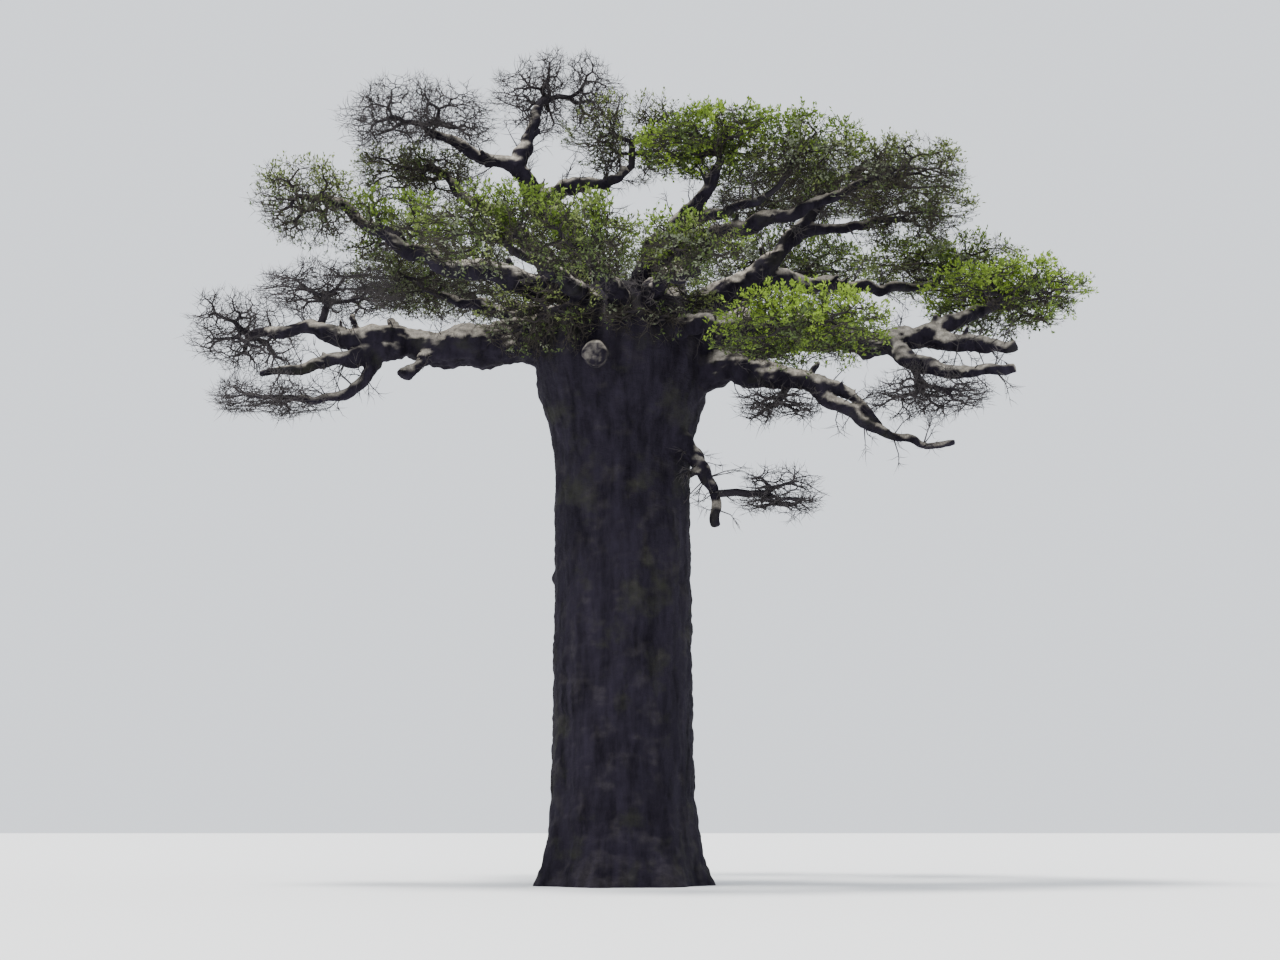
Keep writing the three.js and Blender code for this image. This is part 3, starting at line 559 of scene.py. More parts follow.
def grow_twigs(mass, seed):
    """The twigs of a mass by the fork rule: a twig runs part of the way to the middle of the tips that it
    serves and parts them between two twigs, down to single tips. Gives rods, each a list of places and radii
    that ends in a tip, and for each rod the rod and place that it leaves from and its clump."""
    draws = draws_from(seed)
    tips = tips_of(mass, draws)
    crooks = np.random.default_rng(seed)
    side_stem = mass["share"] < 1
    course = unit(tips.mean(0) - mass["foot"]) if side_stem else mass["course"]
    root = SIDE_STEM_RADIUS if side_stem else TIP_STEM_SHARE * LIMBS[mass["on"]]["girth"][1]
    foot = mass["foot"] - (0 if side_stem else STEM_SUNK) * course
    stem = mass["foot"] + STEM_STRAIGHT * root * course
    rods = [dict(places=[foot, stem], radii=[root, root], leaves=(-1, 0), clump=-1)]
    pending = [(0, tips, -1)]
    clumps = 0

    def radius_for(carries):
        return root * (carries / len(tips)) ** TWIG_TAPER

    def extend(rod, place, radius):
        last = rod["places"][-1]
        length = np.linalg.norm(place - last)
        if length > CROOKED_FROM:
            off = np.cross(unit(place - last), any_ways(crooks))
            share = crooks.uniform(*CROOK_PLACE)
            rod["places"].append(mix(last, place, share) + off * TWIG_CROOK * length)
            rod["radii"].append(mix(rod["radii"][-1], radius, share))
        rod["places"].append(place)
        rod["radii"].append(radius)

    while pending:
        number, served, clump = pending.pop()
        rod = rods[number]
        if clump < 0 and len(served) <= CLUMP_TIPS:
            clump = clumps
            clumps += 1
        if len(served) == 1:
            rod["clump"] = clump
            extend(rod, served[0], 0.0)
            continue
        fork = mix(rod["places"][-1], served.mean(0), FORK_REACH)
        extend(rod, fork, radius_for(len(served)))
        more, fewer = part_tips(fork, served)
        leaves = (number, len(rod["places"]) - 1)
        rods.append(dict(places=[fork], radii=[radius_for(len(fewer))], leaves=leaves, clump=-1))
        pending.append((len(rods) - 1, fewer, clump))
        pending.append((number, more, clump))
    return rods, clumps


def trim_at_bark(mass, rods):
    """Takes off each twig, with all that it carries, from where it would run into a limb or the trunk."""
    near, far, radii = limb_steps()
    reach = max(mass["long"], mass["wide"]) + LIMBS_AROUND
    around = np.linalg.norm((near + far) / 2 - mass["centre"], axis=1) < reach
    steps = near[around], far[around], radii[around]
    starts = np.concatenate([rod["places"][:-1] for rod in rods])
    stops = np.concatenate([rod["places"][1:] for rod in rods])
    tested = [gap_to_bark(mix(starts, stops, t), steps) for t in (0.5, 1)]  # halfway and at the end
    clear = np.min(tested, axis=0) > 0
    clear[:OWN_STEPS] = True
    kept = []
    first = 0
    for rod in rods:
        count = len(rod["places"]) - 1
        parent, place = rod["leaves"]
        free = clear[first : first + count]
        whole = count if free.all() else int(np.argmin(free))
        kept.append(0 if parent >= 0 and kept[parent] < place else whole)
        first += count
    trimmed = []
    for rod, count in zip(rods, kept):
        if count == len(rod["places"]) - 1:
            trimmed.append(rod)
        elif count > 0:
            places, ends = rod["places"][: count + 1], rod["radii"][: count + 1]
            snapped = places[-1] + unit(places[-1] - places[-2]) * SNAP_LENGTH * ends[-1]
            trimmed.append(dict(rod, places=places + [snapped], radii=ends + [0.0], clump=-1))
    return trimmed


@functools.cache
def grown_twigs():
    """The twigs of every mass, and how many clumps of leaves each has."""
    grown = []
    for i, mass in enumerate(placed_masses()):
        rods, clumps = grow_twigs(mass, MASS_SEED + i)
        grown.append(dict(mass=mass, rods=trim_at_bark(mass, rods), clumps=clumps, seed=MASS_SEED + i))
    return grown


# Settings that a user would change.
def a_length(name, description, default, least=0):
    return bpy.props.FloatProperty(
        name=name, description=description, default=default, min=least, unit="LENGTH")


def a_colour(name, description, default):
    return bpy.props.FloatVectorProperty(
        name=name, description=description, default=default, min=0, max=1, subtype="COLOR")


class BarkSettings(bpy.types.PropertyGroup):
    grain: a_length("Grain", "Edge of the bark mesh's faces", 0.057, least=0.03)
    blending: bpy.props.IntProperty(
        name="Blending", description="Rounds of smoothing where limbs meet", default=5, min=0)
    lumps: a_length("Lumps", "Height of the lumps on a stout limb", 0.12)
    folds: a_length("Folds", "Depth of the long folds down the trunk", 0.05)
    wrinkles: a_length("Wrinkles", "Depth of the fine wrinkles", 0.016)
    # Deep bark and Bark are nearly black: painted shade for a trunk that stands in shadow, darkest in the
    # furrows and paler on the ridges.
    shade: a_colour("Deep bark", "Colour in the furrows", (0.005, 0.004, 0.007))
    plain: a_colour("Bark", "Usual colour", (0.0135, 0.0112, 0.018))
    # The pale bark colour on top of the boughs is a painted highlight that stands in for sunlight.
    weathered: a_colour("Weathered bark", "Colour on top of the boughs", (0.46, 0.42, 0.36))


class TwigSettings(bpy.types.PropertyGroup):
    finest: a_length("Finest", "Least radius where a twig leaves its fork", 0.009)
    bare: a_colour("Bare twigs", "Colour of twigs without leaves", (0.06, 0.054, 0.056))
    leafy: a_colour("Leafy twigs", "Colour of twigs in leaf", (0.045, 0.04, 0.034))
    # The stout twigs take the near-black of the boughs, which is painted shade.
    stout: a_colour("Stout twigs", "Colour of the thickest", (0.02, 0.017, 0.022))


class LeafSettings(bpy.types.PropertyGroup):
    length: a_length("Leaflet length", "Length of one leaflet", 0.125)
    width: a_length("Leaflet width", "Width of one leaflet", 0.06)
    # The pale tints go on the highest clumps and the deep ones on the lowest, as painted light and painted
    # shade.
    fresh_pale: a_colour("Fresh, pale", "Youngest leaves", (0.21, 0.31, 0.04))
    fresh_deep: a_colour("Fresh, deep", "Young leaves", (0.13, 0.20, 0.028))
    olive_pale: a_colour("Olive, pale", "Light olive leaves", (0.15, 0.19, 0.06))
    olive_deep: a_colour("Olive, deep", "Deep olive leaves", (0.062, 0.09, 0.028))
    grey: a_colour("Grey-green", "Thin leaves on sparse twigs", (0.13, 0.15, 0.095))


class StageSettings(bpy.types.PropertyGroup):
    floor_side: a_length("Floor", "Side of the square floor", 600)
    floor_colour: a_colour("Floor colour", "Plain pale floor", (0.72, 0.73, 0.74))
    sun: bpy.props.FloatProperty(name="Key light", description="Strength of the key light", default=6.5)
    sky: bpy.props.FloatProperty(
        name="Fill light", description="Strength of the light all round", default=1.5)
    lens_pixels: bpy.props.FloatProperty(
        name="Focal length in pixels", description="In a picture 1280 pixels wide", default=1758)
    eye: bpy.props.FloatVectorProperty(
        name="Eye", description="Place of the camera", subtype="TRANSLATION", default=(0.49, -48.9, 1.6))
    tilt: bpy.props.FloatProperty(
        name="Tilt", description="How far the camera looks up", subtype="ANGLE", default=math.radians(11.1))


# Small helpers for modelling.
def deselect():
    bpy.ops.object.select_all(action="DESELECT")


def select_only(objects):
    deselect()
    for item in objects:
        item.select_set(True)
    bpy.context.view_layer.objects.active = objects[0]


def in_edit_mode(item, work):
    """Runs the work in edit mode on one object, with everything selected at the start."""
    select_only([item])
    bpy.ops.object.mode_set(mode="EDIT")
    bpy.ops.mesh.select_mode(type="FACE")
    bpy.ops.mesh.select_all(action="SELECT")
    work()
    bpy.ops.object.mode_set(mode="OBJECT")


def joined(objects, name):
    select_only(objects)
    if len(objects) > 1:
        bpy.ops.object.join()
    item = bpy.context.object
    item.name = item.data.name = name
    return item


def vectors_of(elements, key):
    """One vector of each vertex, normal or face of a mesh, as an array."""
    vectors = np.empty(len(elements) * 3, np.float32)
    elements.foreach_get(key, vectors)
    return vectors.reshape(-1, 3).astype(float)


def places_of(item):
    return vectors_of(item.data.vertices, "co")


def move_to(item, places):
    item.data.vertices.foreach_set("co", places.astype(np.float32).ravel())
    item.data.update()


def normals_of(item):
    return vectors_of(item.data.vertex_normals, "vector")


def put_attribute(item, name, values):
    attribute = item.data.attributes.new(name, "FLOAT", "POINT")
    attribute.data.foreach_set("value", values.astype(np.float32))


def mesh_piece(name, places, triangles, material, nodes):
    """A joined piece from arrays of places and triangles, in the tree's one body."""
    mesh = bpy.data.meshes.new(name)
    mesh.vertices.add(len(places))
    mesh.vertices.foreach_set("co", places.astype(np.float32).ravel())
    mesh.loops.add(3 * len(triangles))
    mesh.loops.foreach_set("vertex_index", triangles.astype(np.int32).ravel())
    mesh.polygons.add(len(triangles))
    mesh.polygons.foreach_set("loop_start", np.arange(0, 3 * len(triangles), 3, dtype=np.int32))
    mesh.polygons.foreach_set("use_smooth", np.ones(len(triangles), bool))
    mesh.update(calc_edges=True)
    item = bpy.data.objects.new(name, mesh)
    bpy.context.scene.collection.objects.link(item)
    finish_piece(item, material, nodes)
    return item


def finish_piece(item, material, nodes):
    item.data.materials.clear()
    item.data.materials.append(material)
    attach(item, "root")
    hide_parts(*nodes)


# Materials.
def toned(colour, share):
    """A colour made darker or paler."""
    return tuple(share * part for part in colour)


class Finish:
    """A node-based material, built link by link."""

    def __init__(self, name):
        self.material = bpy.data.materials.new(name)
        self.material.use_nodes = True
        self.tree = self.material.node_tree
        self.shader = self.tree.nodes["Principled BSDF"]
        self.place = self.tree.nodes.new("ShaderNodeTexCoord").outputs["Object"]

    def node(self, kind, links=(), **values):
        """A node with its inputs linked or set, and its own values set."""
        made = self.tree.nodes.new(kind)
        for key, value in values.items():
            setattr(made, key, value)
        for socket, value in dict(links).items():
            if isinstance(value, bpy.types.NodeSocket):
                self.tree.links.new(value, made.inputs[socket])
            else:
                made.inputs[socket].default_value = value
        return made

    def stretched(self, scale):
        return self.node("ShaderNodeMapping", {"Vector": self.place, "Scale": scale}).outputs["Vector"]

    def noise(self, scale, detail, roughness, place=None):
        links = {"Vector": place or self.place, "Scale": scale, "Detail": detail, "Roughness": roughness}
        return self.node("ShaderNodeTexNoise", links).outputs["Fac"]

    def ramp(self, value, stops):
        made = self.node("ShaderNodeValToRGB", {"Fac": value})
        elements = made.color_ramp.elements
        while len(elements) < len(stops):
            elements.new(0.5)
        for element, (position, colour) in zip(elements, stops):
            element.position = position
            element.color = (*colour, 1)
        return made.outputs["Color"]

    def patches(self, value, colour, tones):
        """A colour in darker and paler patches. Each tone is a value and the share of the colour there."""
        return self.ramp(value, [(place, toned(colour, share)) for place, share in tones])

    def range(self, value, low, high, to_low=0.0, to_high=1.0):
        links = {"Value": value, "From Min": low, "From Max": high, "To Min": to_low, "To Max": to_high}
        return self.node("ShaderNodeMapRange", links).outputs["Result"]

    def math(self, operation, a, b):
        return self.node("ShaderNodeMath", {0: a, 1: b}, operation=operation).outputs[0]

    def blend(self, share, a, b):
        made = self.node("ShaderNodeMix", {"Factor": share}, data_type="RGBA")
        for socket, value in ((made.inputs[6], a), (made.inputs[7], b)):
            if isinstance(value, bpy.types.NodeSocket):
                self.tree.links.new(value, socket)
            else:
                socket.default_value = (*value, 1)
        return made.outputs[2]

    def bump(self, height, strength, distance):
        made = self.node("ShaderNodeBump", {"Height": height, "Strength": strength, "Distance": distance})
        self.tree.links.new(made.outputs["Normal"], self.shader.inputs["Normal"])

    def set(self, socket, value):
        if isinstance(value, bpy.types.NodeSocket):
            self.tree.links.new(value, self.shader.inputs[socket])
        else:
            self.shader.inputs[socket].default_value = value


MOSS = (0.03, 0.032, 0.02)
GIRTHS_THAT_DARKEN = (0.012, 0.05)  # a twig passes from its own colour to the stout one between these radii


@functools.cache
def bark_finish():
    """Furrowed plum-grey bark, nearly black as painted shade, and pale as a painted highlight where its
    highlight attribute paints sunlight on the tops of the boughs.
    """
    settings = bpy.context.scene.baobab_bark
    finish = Finish("weathered_bark")
    streaks = finish.noise(3.2, detail=8, roughness=0.62, place=finish.stretched((1, 1, 0.22)))
    wrinkles = finish.noise(5.5, detail=6, roughness=0.6, place=finish.stretched((1, 1, 2.6)))
    broad = finish.noise(0.9, detail=5, roughness=0.6)
    middling = finish.noise(6.5, detail=6, roughness=0.6)
    fine = finish.noise(22, detail=6, roughness=0.65)
    # The near-black base is painted shade, darkest along the low streaks that the bump sinks into furrows.
    paler = toned(settings.plain, 1.5)
    base = finish.ramp(streaks, ((0.32, settings.shade), (0.52, settings.plain), (0.72, paler)))
    mossy = finish.blend(finish.range(broad, 0.55, 0.72, 0, 0.5), base, MOSS)
    # Painted highlight: pale, mottled bark over the dark base, where the attribute paints sunlight on the
    # bough tops and the stub's end.
    weather = finish.node("ShaderNodeAttribute", attribute_name="weather").outputs["Fac"]
    broken = finish.math("MULTIPLY", weather, finish.range(fine, 0.3, 0.6, 0.55, 1.0))
    mottled = finish.patches(middling, settings.weathered, ((0.36, 0.5), (0.58, 1), (0.78, 1.2)))
    finish.set("Base Color", finish.blend(broken, mossy, mottled))
    finish.set("Roughness", finish.range(fine, 0.3, 0.7, 0.82, 0.98))
    finish.set("Specular IOR Level", 0.08)
    height = finish.math("ADD", streaks, finish.math("MULTIPLY", wrinkles, 0.6))
    height = finish.math("ADD", height, finish.math("MULTIPLY", fine, 0.35))
    finish.bump(height, strength=0.9, distance=0.05)
    return finish.material


@functools.cache
def twig_finish(name, colour, stout):
    """Thin grey bark with paler and darker stretches, as dark as the boughs' painted shade where the girth
    attribute is large."""
    finish = Finish(name)
    uneven = finish.noise(2.4, detail=4, roughness=0.6)
    thin = finish.patches(uneven, colour, ((0.3, 0.5), (0.55, 1), (0.75, 1.6)))
    girth = finish.node("ShaderNodeAttribute", attribute_name="girth").outputs["Fac"]
    finish.set("Base Color", finish.blend(finish.range(girth, *GIRTHS_THAT_DARKEN), thin, stout))
    finish.set("Roughness", 0.88)
    finish.set("Specular IOR Level", 0.1)
    finish.bump(finish.noise(40, detail=3, roughness=0.6), strength=0.4, distance=0.01)
    return finish.material


@functools.cache
def leaf_finish(name, colour):
    """A matt leaf, a little uneven in tone."""
    finish = Finish(name)
    uneven = finish.noise(1.7, detail=5, roughness=0.65)
    finish.set("Base Color", finish.patches(uneven, colour, ((0.3, 0.66), (0.5, 1), (0.72, 1.3))))
    finish.set("Roughness", 0.6)
    finish.set("Specular IOR Level", 0.12)
    return finish.material


# Bark: its forms.
BARK_SEED = 31
TRUNK_SIDES = 128
TRUNK_RINGS = 150
LIMB_SWELL = 0.012  # made this much stouter, because smoothing draws a limb in
TRUNK_COLLAR = 0.3  # the trunk's piece takes in this much of each bough
CLEAR_OF_COLLAR = 0.6  # a limb is outside the collar at this share of its length
SWERVE = 0.14  # a limb swerves by this share of each step
SWELLING = (0.92, 1.1)  # and is this much slimmer or stouter halfway along the step
SPURS_FROM = 0.28  # limbs this stout bear broken spurs
SPUR_SPACING = 1.3
SPUR_PLACE = (0.3, 0.92)  # shares of the limb's length
SPUR_COURSE = 0.05  # share over which the limb's course is read
SPUR_LEAN, SPUR_LIFT = 0.6, 0.25
SPUR_REACH = (0.12, 0.4)  # out of the bark
SPUR_GIRTH = (0.25, 0.42)  # shares of the limb's radius
SPUR_LEAST = 0.045
SPUR_BEND = (0.6, 0.12)  # a spur bends at this share of its reach, and by this much upwards
SPUR_FORM = (1.5, 1, 0.75)  # its radius at root, bend and tip
SMOOTH_ANGLE = math.radians(50)

# Bark: its relief. Scales are across the grain and up it, to the metre. A fractal is given by the step
# between its octaves' heights, the step between their scales, and how many they are.
STOUT_LIMB = 0.45  # relief is full on a limb of this radius, and lower on a thinner one
LEAST_RELIEF = 0.12
SHAFT_BLEND = (0.05, 0.5)  # the shaft's relief gives way to the limbs' from here outwards, over this much
LUMP_SCALE = 1.5
LUMP_FRACTAL = (0.9, 2.1, 3)
SHAFT_LESS_LUMPY = 0.55
WRINKLE_SCALE = (2.2, 6.5)
FINE_WRINKLE_SCALE = 7
LIMB_WRINKLES = 2.2  # limbs are this many times as wrinkled as the shaft
FOLD_SCALE = (1.3, 0.16)
FURROW_SCALE = (4.2, 0.5)
FURROW_SHARE = 0.4  # of the folds' depth
KNOB_SPACING = 1.1
KNOB_RADIUS = 0.24  # share of the spacing
KNOB_HEIGHT = 0.07
KNOBLESS = 0.45  # the higher, the fewer cells hold a knob
KNOB_CELLS = 7  # far enough apart that each knob is chosen by itself
FLAT_FOOT = 0.6  # below this height the relief stands out level, so that the cut stays flat

# Bark: its painted highlight, pale on the upward faces of the boughs where sunlight would fall, and on the
# front stub's broken end.
HIGHLIGHT_FROM = 0.05  # upward share of the bark's normal
HIGHLIGHT_OVER = 0.6
SPECKLE_SCALE, SPECKLE_SHARE = 1.9, 0.75
SPECKLE_FRACTAL = (0.8, 2.1, 2)
# The shaft takes almost none of the painted highlight, so it stays in painted shade.
SHAFT_HIGHLIGHT = 0.03
SHAFT_HIGHLIGHT_BLEND = (0.1, 0.5)  # as for the relief
THIN_HIGHLIGHT, THIN_LIMB = 0.4, 0.25  # the thinnest limbs' painted highlight, which is full from this radius up
STUB_PALENESS = 0.3  # painted highlight on the broken end of the front stub
STUB_END_REACH, STUB_END_CORE = 0.5, 0.3  # fades over this reach, after a core of this share of it
STUB_MOTTLE_SCALE, STUB_MOTTLE_LEVEL, STUB_MOTTLE_SHARE = 5, 0.45, 1.2
STUB_MOTTLE_FRACTAL = (0.7, 2.1, 3)


def trunk_form():
    """The trunk as a closed form: a cylinder, cut into rings and shaped by the trunk's rule."""
    deselect()
    bpy.ops.mesh.primitive_cylinder_add(vertices=TRUNK_SIDES, radius=1, depth=1)
    form = bpy.context.object

    def cut_rings():
        bpy.ops.mesh.select_mode(type="EDGE")
        bpy.ops.mesh.select_all(action="DESELECT")
        bpy.ops.object.mode_set(mode="OBJECT")
        ends = places_of(form)
        for edge in form.data.edges:
            a, b = edge.vertices
            edge.select = bool(abs(ends[a][2] - ends[b][2]) > 0.5)
        bpy.ops.object.mode_set(mode="EDIT")
        bpy.ops.mesh.subdivide_edgering(number_cuts=TRUNK_RINGS, interpolation="LINEAR")

    in_edit_mode(form, cut_rings)
    places = places_of(form)
    share = places[:, 2] + 0.5
    height = mix(-BELOW_CUT, TRUNK_TOP, share)
    over = height > HEAD_HEIGHT
    rise = (height[over] - HEAD_HEIGHT) / (TRUNK_TOP - HEAD_HEIGHT)
    height[over] = mix(HEAD_HEIGHT, TRUNK_TOP, np.sin(rise * math.pi / 2))
    bearing = np.arctan2(places[:, 1], places[:, 0])
    radius = trunk_radius(np.maximum(height, 0), bearing)
    move_to(form, np.stack([radius * np.cos(bearing), radius * np.sin(bearing), height], axis=1))
    return form


def limb_form(path, radii):
    """A tapering limb as a closed form along a smooth curve."""
    deselect()
    bpy.ops.curve.primitive_bezier_curve_add(location=(0, 0, 0))
    curve = bpy.context.object
    spline = curve.data.splines[0]
    spline.bezier_points.add(len(path) - 2)
    for point, place, radius in zip(spline.bezier_points, path, radii):
        point.co = place
        point.handle_left_type = point.handle_right_type = "AUTO"
        point.radius = radius
    curve.data.dimensions = "3D"
    curve.data.resolution_u = 4
    curve.data.bevel_depth = 1
    curve.data.bevel_resolution = 5
    curve.data.use_fill_caps = True
    bpy.ops.object.convert(target="MESH")
    return bpy.context.object


def swerving(path, radii, chance):
    """The path with a swerve and a swelling or a waist halfway along each step."""
    places, girths = [path[0]], [radii[0]]
    for i in range(len(path) - 1):
        swerve = any_ways(chance) * SWERVE * np.linalg.norm(path[i + 1] - path[i])
        places += [(path[i] + path[i + 1]) / 2 + swerve, path[i + 1]]
        girths += [(radii[i] + radii[i + 1]) / 2 * chance.uniform(*SWELLING), radii[i + 1]]
    return places, girths


def spur_forms(limb, chance):
    """Short broken stubs that stand out of a stout limb."""
    forms = []
    bend, rise = SPUR_BEND
    for _ in range(int(limb["length"] / SPUR_SPACING)):
        share = chance.uniform(*SPUR_PLACE)
        girth = limb_radius(limb, share)
        start = along_path(limb["path"], share)
        course = unit(along_path(limb["path"], share + SPUR_COURSE) - start)
        way = slanting(course, SPUR_LEAN, SPUR_LIFT, chance)
        reach = girth + chance.uniform(*SPUR_REACH)
        thick = max(SPUR_LEAST, girth * chance.uniform(*SPUR_GIRTH))
        path = [start, start + way * reach * bend, start + (way + rise * UP) * reach]
        forms.append(limb_form(path, [thick * part for part in SPUR_FORM]))
    return forms


def along_stub(start, stub, share):
    return start + direction(stub["heading"], stub["climb"]) * stub["length"] * share


def stub_form(start, stub):
    """A straight broken stub."""
    shares = (0, 0.5, 1)
    path = [along_stub(start, stub, t) for t in shares]
    return limb_form(path, [mix(*stub["girth"], t) + LIMB_SWELL for t in shares])


def all_forms():
    """The trunk, the front stub, and each limb with its spurs and snag, as closed forms that overlap."""
    forms = [trunk_form(), stub_form(on_trunk(FRONT_STUB), FRONT_STUB)]
    chance = np.random.default_rng(BARK_SEED)
    for limb in grown_limbs().values():
        radii = [limb_radius(limb, i / LIMB_STEPS) + LIMB_SWELL for i in range(LIMB_STEPS + 1)]
        forms.append(limb_form(*swerving(limb["path"], radii, chance)))
        if limb["girth"][0] > SPURS_FROM:
            forms += spur_forms(limb, chance)
        if "snag" in limb:
            forms.append(stub_form(along_path(limb["path"], limb["snag"]["at"]), limb["snag"]))
    return forms


def merge_forms(forms, settings):
    """One skin over all the forms, with soft crotches where they meet."""
    skin = joined(forms, "bark")
    in_edit_mode(skin, lambda: bpy.ops.mesh.normals_make_consistent(inside=False))
    skin.data.remesh_voxel_size = settings.grain
    bpy.ops.object.voxel_remesh()
    bpy.ops.object.modifier_add(type="SMOOTH")
    skin.modifiers[-1].factor = 0.5
    skin.modifiers[-1].iterations = settings.blending
    bpy.ops.object.modifier_apply(modifier=skin.modifiers[-1].name)
    return skin


def girth_near(places):
    """The radius of the limb that each place on the bark belongs to, and how far out from the trunk it is."""
    near, far, radii = limb_steps()
    girth = np.empty(len(places))
    for some in batches(places):
        gaps = gaps_to_steps(places[some], near, far, radii)
        girth[some] = radii[np.argmin(np.abs(gaps), axis=1)]
    out = gap_to_trunk(places)
    return np.where(out < SHAFT_BLEND[0], SHAFT_RADIUS, girth), out


def knob(place):
    """A rounded knob at some of the cells of a random pattern."""
    distances, centres = noise.voronoi(place / KNOB_SPACING)
    chosen = noise.cell(centres[0] * KNOB_CELLS) > KNOBLESS
    return max(0.0, 1 - (distances[0] / KNOB_RADIUS) ** 2) ** 2 if chosen else 0.0


def grained(place, scale):
    """Noise with a scale of its own across the grain and up it."""
    across, upwards = scale
    return noise.noise(Vector((place.x * across, place.y * across, place.z * upwards)))


def carve_bark(skin, settings):
    """Lumps and knobs on the limbs, long folds and cross wrinkles down the trunk."""
    places, normals = places_of(skin), normals_of(skin)
    girth, out = girth_near(places)
    stoutness = np.clip(girth / STOUT_LIMB, LEAST_RELIEF, 1)
    inner, width = SHAFT_BLEND
    on_shaft = 1 - smooth((out - inner) / width)
    lift = np.empty(len(places))
    for i, place in enumerate(places):
        p = Vector(place)
        lump = noise.fractal(p * LUMP_SCALE, *LUMP_FRACTAL) * settings.lumps
        lump *= 1 - SHAFT_LESS_LUMPY * on_shaft[i]
        wrinkle = grained(p, WRINKLE_SCALE) + noise.noise(p * FINE_WRINKLE_SCALE)
        wrinkle *= mix(LIMB_WRINKLES, 1, on_shaft[i])
        fold, furrow = grained(p, FOLD_SCALE), grained(p, FURROW_SCALE)
        lift[i] = stoutness[i] * (lump + settings.wrinkles * wrinkle + KNOB_HEIGHT * knob(p))
        lift[i] += on_shaft[i] * (settings.folds * fold + FURROW_SHARE * settings.folds * furrow)
    outward = normals.copy()
    outward[:, 2] *= 1 - smooth((FLAT_FOOT - places[:, 2]) / FLAT_FOOT)
    move_to(skin, places + outward * lift[:, None])


def cut_at_ground(skin):
    """Cuts the trunk flat at the ground and closes the cut."""
    in_edit_mode(skin, lambda: bpy.ops.mesh.bisect(
        plane_co=(0, 0, 0), plane_no=(0, 0, -1), use_fill=True, clear_outer=True))
    places = places_of(skin)
    places[:, 2] = np.maximum(places[:, 2], 0)
    move_to(skin, places)


def fractal_at(places, scale, fractal):
    return np.array([noise.fractal(Vector(place) * scale, *fractal) for place in places])


def painted_highlights_of(skin):
    """How strongly each place takes the painted highlight, from 0 to 1: painted sunlight on the tops of
    boughs, and on the broken end of the front stub.
    """
    places, normals = places_of(skin), normals_of(skin)
    girth, out = girth_near(places)
    speckle = fractal_at(places, SPECKLE_SCALE, SPECKLE_FRACTAL)
    up = smooth((normals[:, 2] - HIGHLIGHT_FROM + SPECKLE_SHARE * speckle) / HIGHLIGHT_OVER)
    inner, width = SHAFT_HIGHLIGHT_BLEND
    on_limb = mix(SHAFT_HIGHLIGHT, 1, smooth((out - inner) / width))
    up *= on_limb * mix(THIN_HIGHLIGHT, 1, smooth(girth / THIN_LIMB))
    # The front stub's broken end is pale too, as a painted highlight, broken into patches by noise.
    stub_end = along_stub(on_trunk(FRONT_STUB), FRONT_STUB, 1)
    from_end = np.linalg.norm(places - stub_end, axis=1) / STUB_END_REACH
    stub_mottle = fractal_at(places, STUB_MOTTLE_SCALE, STUB_MOTTLE_FRACTAL)
    stub_mottled = smooth(STUB_MOTTLE_LEVEL + STUB_MOTTLE_SHARE * stub_mottle)
    return np.maximum(up, (1 - smooth(from_end - STUB_END_CORE)) * stub_mottled * STUB_PALENESS)


def part_bark(skin):
    """The trunk's piece and the boughs to the left and right, each closed."""
    beyond = gap_to_trunk(vectors_of(skin.data.polygons, "center")) > TRUNK_COLLAR
    bpy.ops.object.mode_set(mode="EDIT")
    bpy.ops.mesh.select_mode(type="FACE")
    bpy.ops.mesh.select_all(action="DESELECT")
    bpy.ops.object.mode_set(mode="OBJECT")
    skin.data.polygons.foreach_set("select", beyond)
    bpy.ops.object.mode_set(mode="EDIT")
    bpy.ops.mesh.separate(type="SELECTED")
    bpy.ops.object.mode_set(mode="OBJECT")
    boughs = next(item for item in bpy.context.selected_objects if item != skin)
    select_only([boughs])
    bpy.ops.mesh.separate(type="LOOSE")
    parts = list(bpy.context.selected_objects)
    middles = [places_of(part).mean(0)[0] for part in parts]
    left = joined([part for part, x in zip(parts, middles) if x < 0], "bark_left_boughs")
    right = joined([part for part, x in zip(parts, middles) if x >= 0], "bark_right_boughs")
    skin.name = skin.data.name = "bark_trunk"
    for piece in (skin, left, right):
        in_edit_mode(piece, lambda: bpy.ops.mesh.fill_holes(sides=0))
    return skin, left, right


def limbs_of(pieces):
    """The limbs that each piece stands for, by which of them comes nearest to the limb's middle."""
    held = {piece.name: [] for piece in pieces}
    places = {piece.name: places_of(piece) for piece in pieces}
    for name, limb in grown_limbs().items():
        middle = along_path(limb["path"], CLEAR_OF_COLLAR)
        gaps = {piece: np.linalg.norm(spots - middle, axis=1).min() for piece, spots in places.items()}
        held[min(gaps, key=gaps.get)].append("bough_" + name)
    return held


class BAOBAB_OT_bark(bpy.types.Operator):
    """Makes the bark of the trunk and boughs"""

    bl_idname = "baobab.bark"
    bl_label = "Trunk and boughs"

    def execute(self, context):
        settings = context.scene.baobab_bark
        skin = merge_forms(all_forms(), settings)
        carve_bark(skin, settings)
        cut_at_ground(skin)
        # Stores the painted highlight: sunlight painted onto the bough tops and the front stub's end.
        put_attribute(skin, "weather", painted_highlights_of(skin))
        trunk, *boughs = part_bark(skin)
        held = limbs_of(boughs)
        for piece in (trunk, *boughs):
            select_only([piece])
            bpy.ops.object.shade_smooth_by_angle(angle=SMOOTH_ANGLE)
            nodes = ["trunk"] if piece == trunk else held[piece.name]
            finish_piece(piece, bark_finish(), nodes)
        return {"FINISHED"}


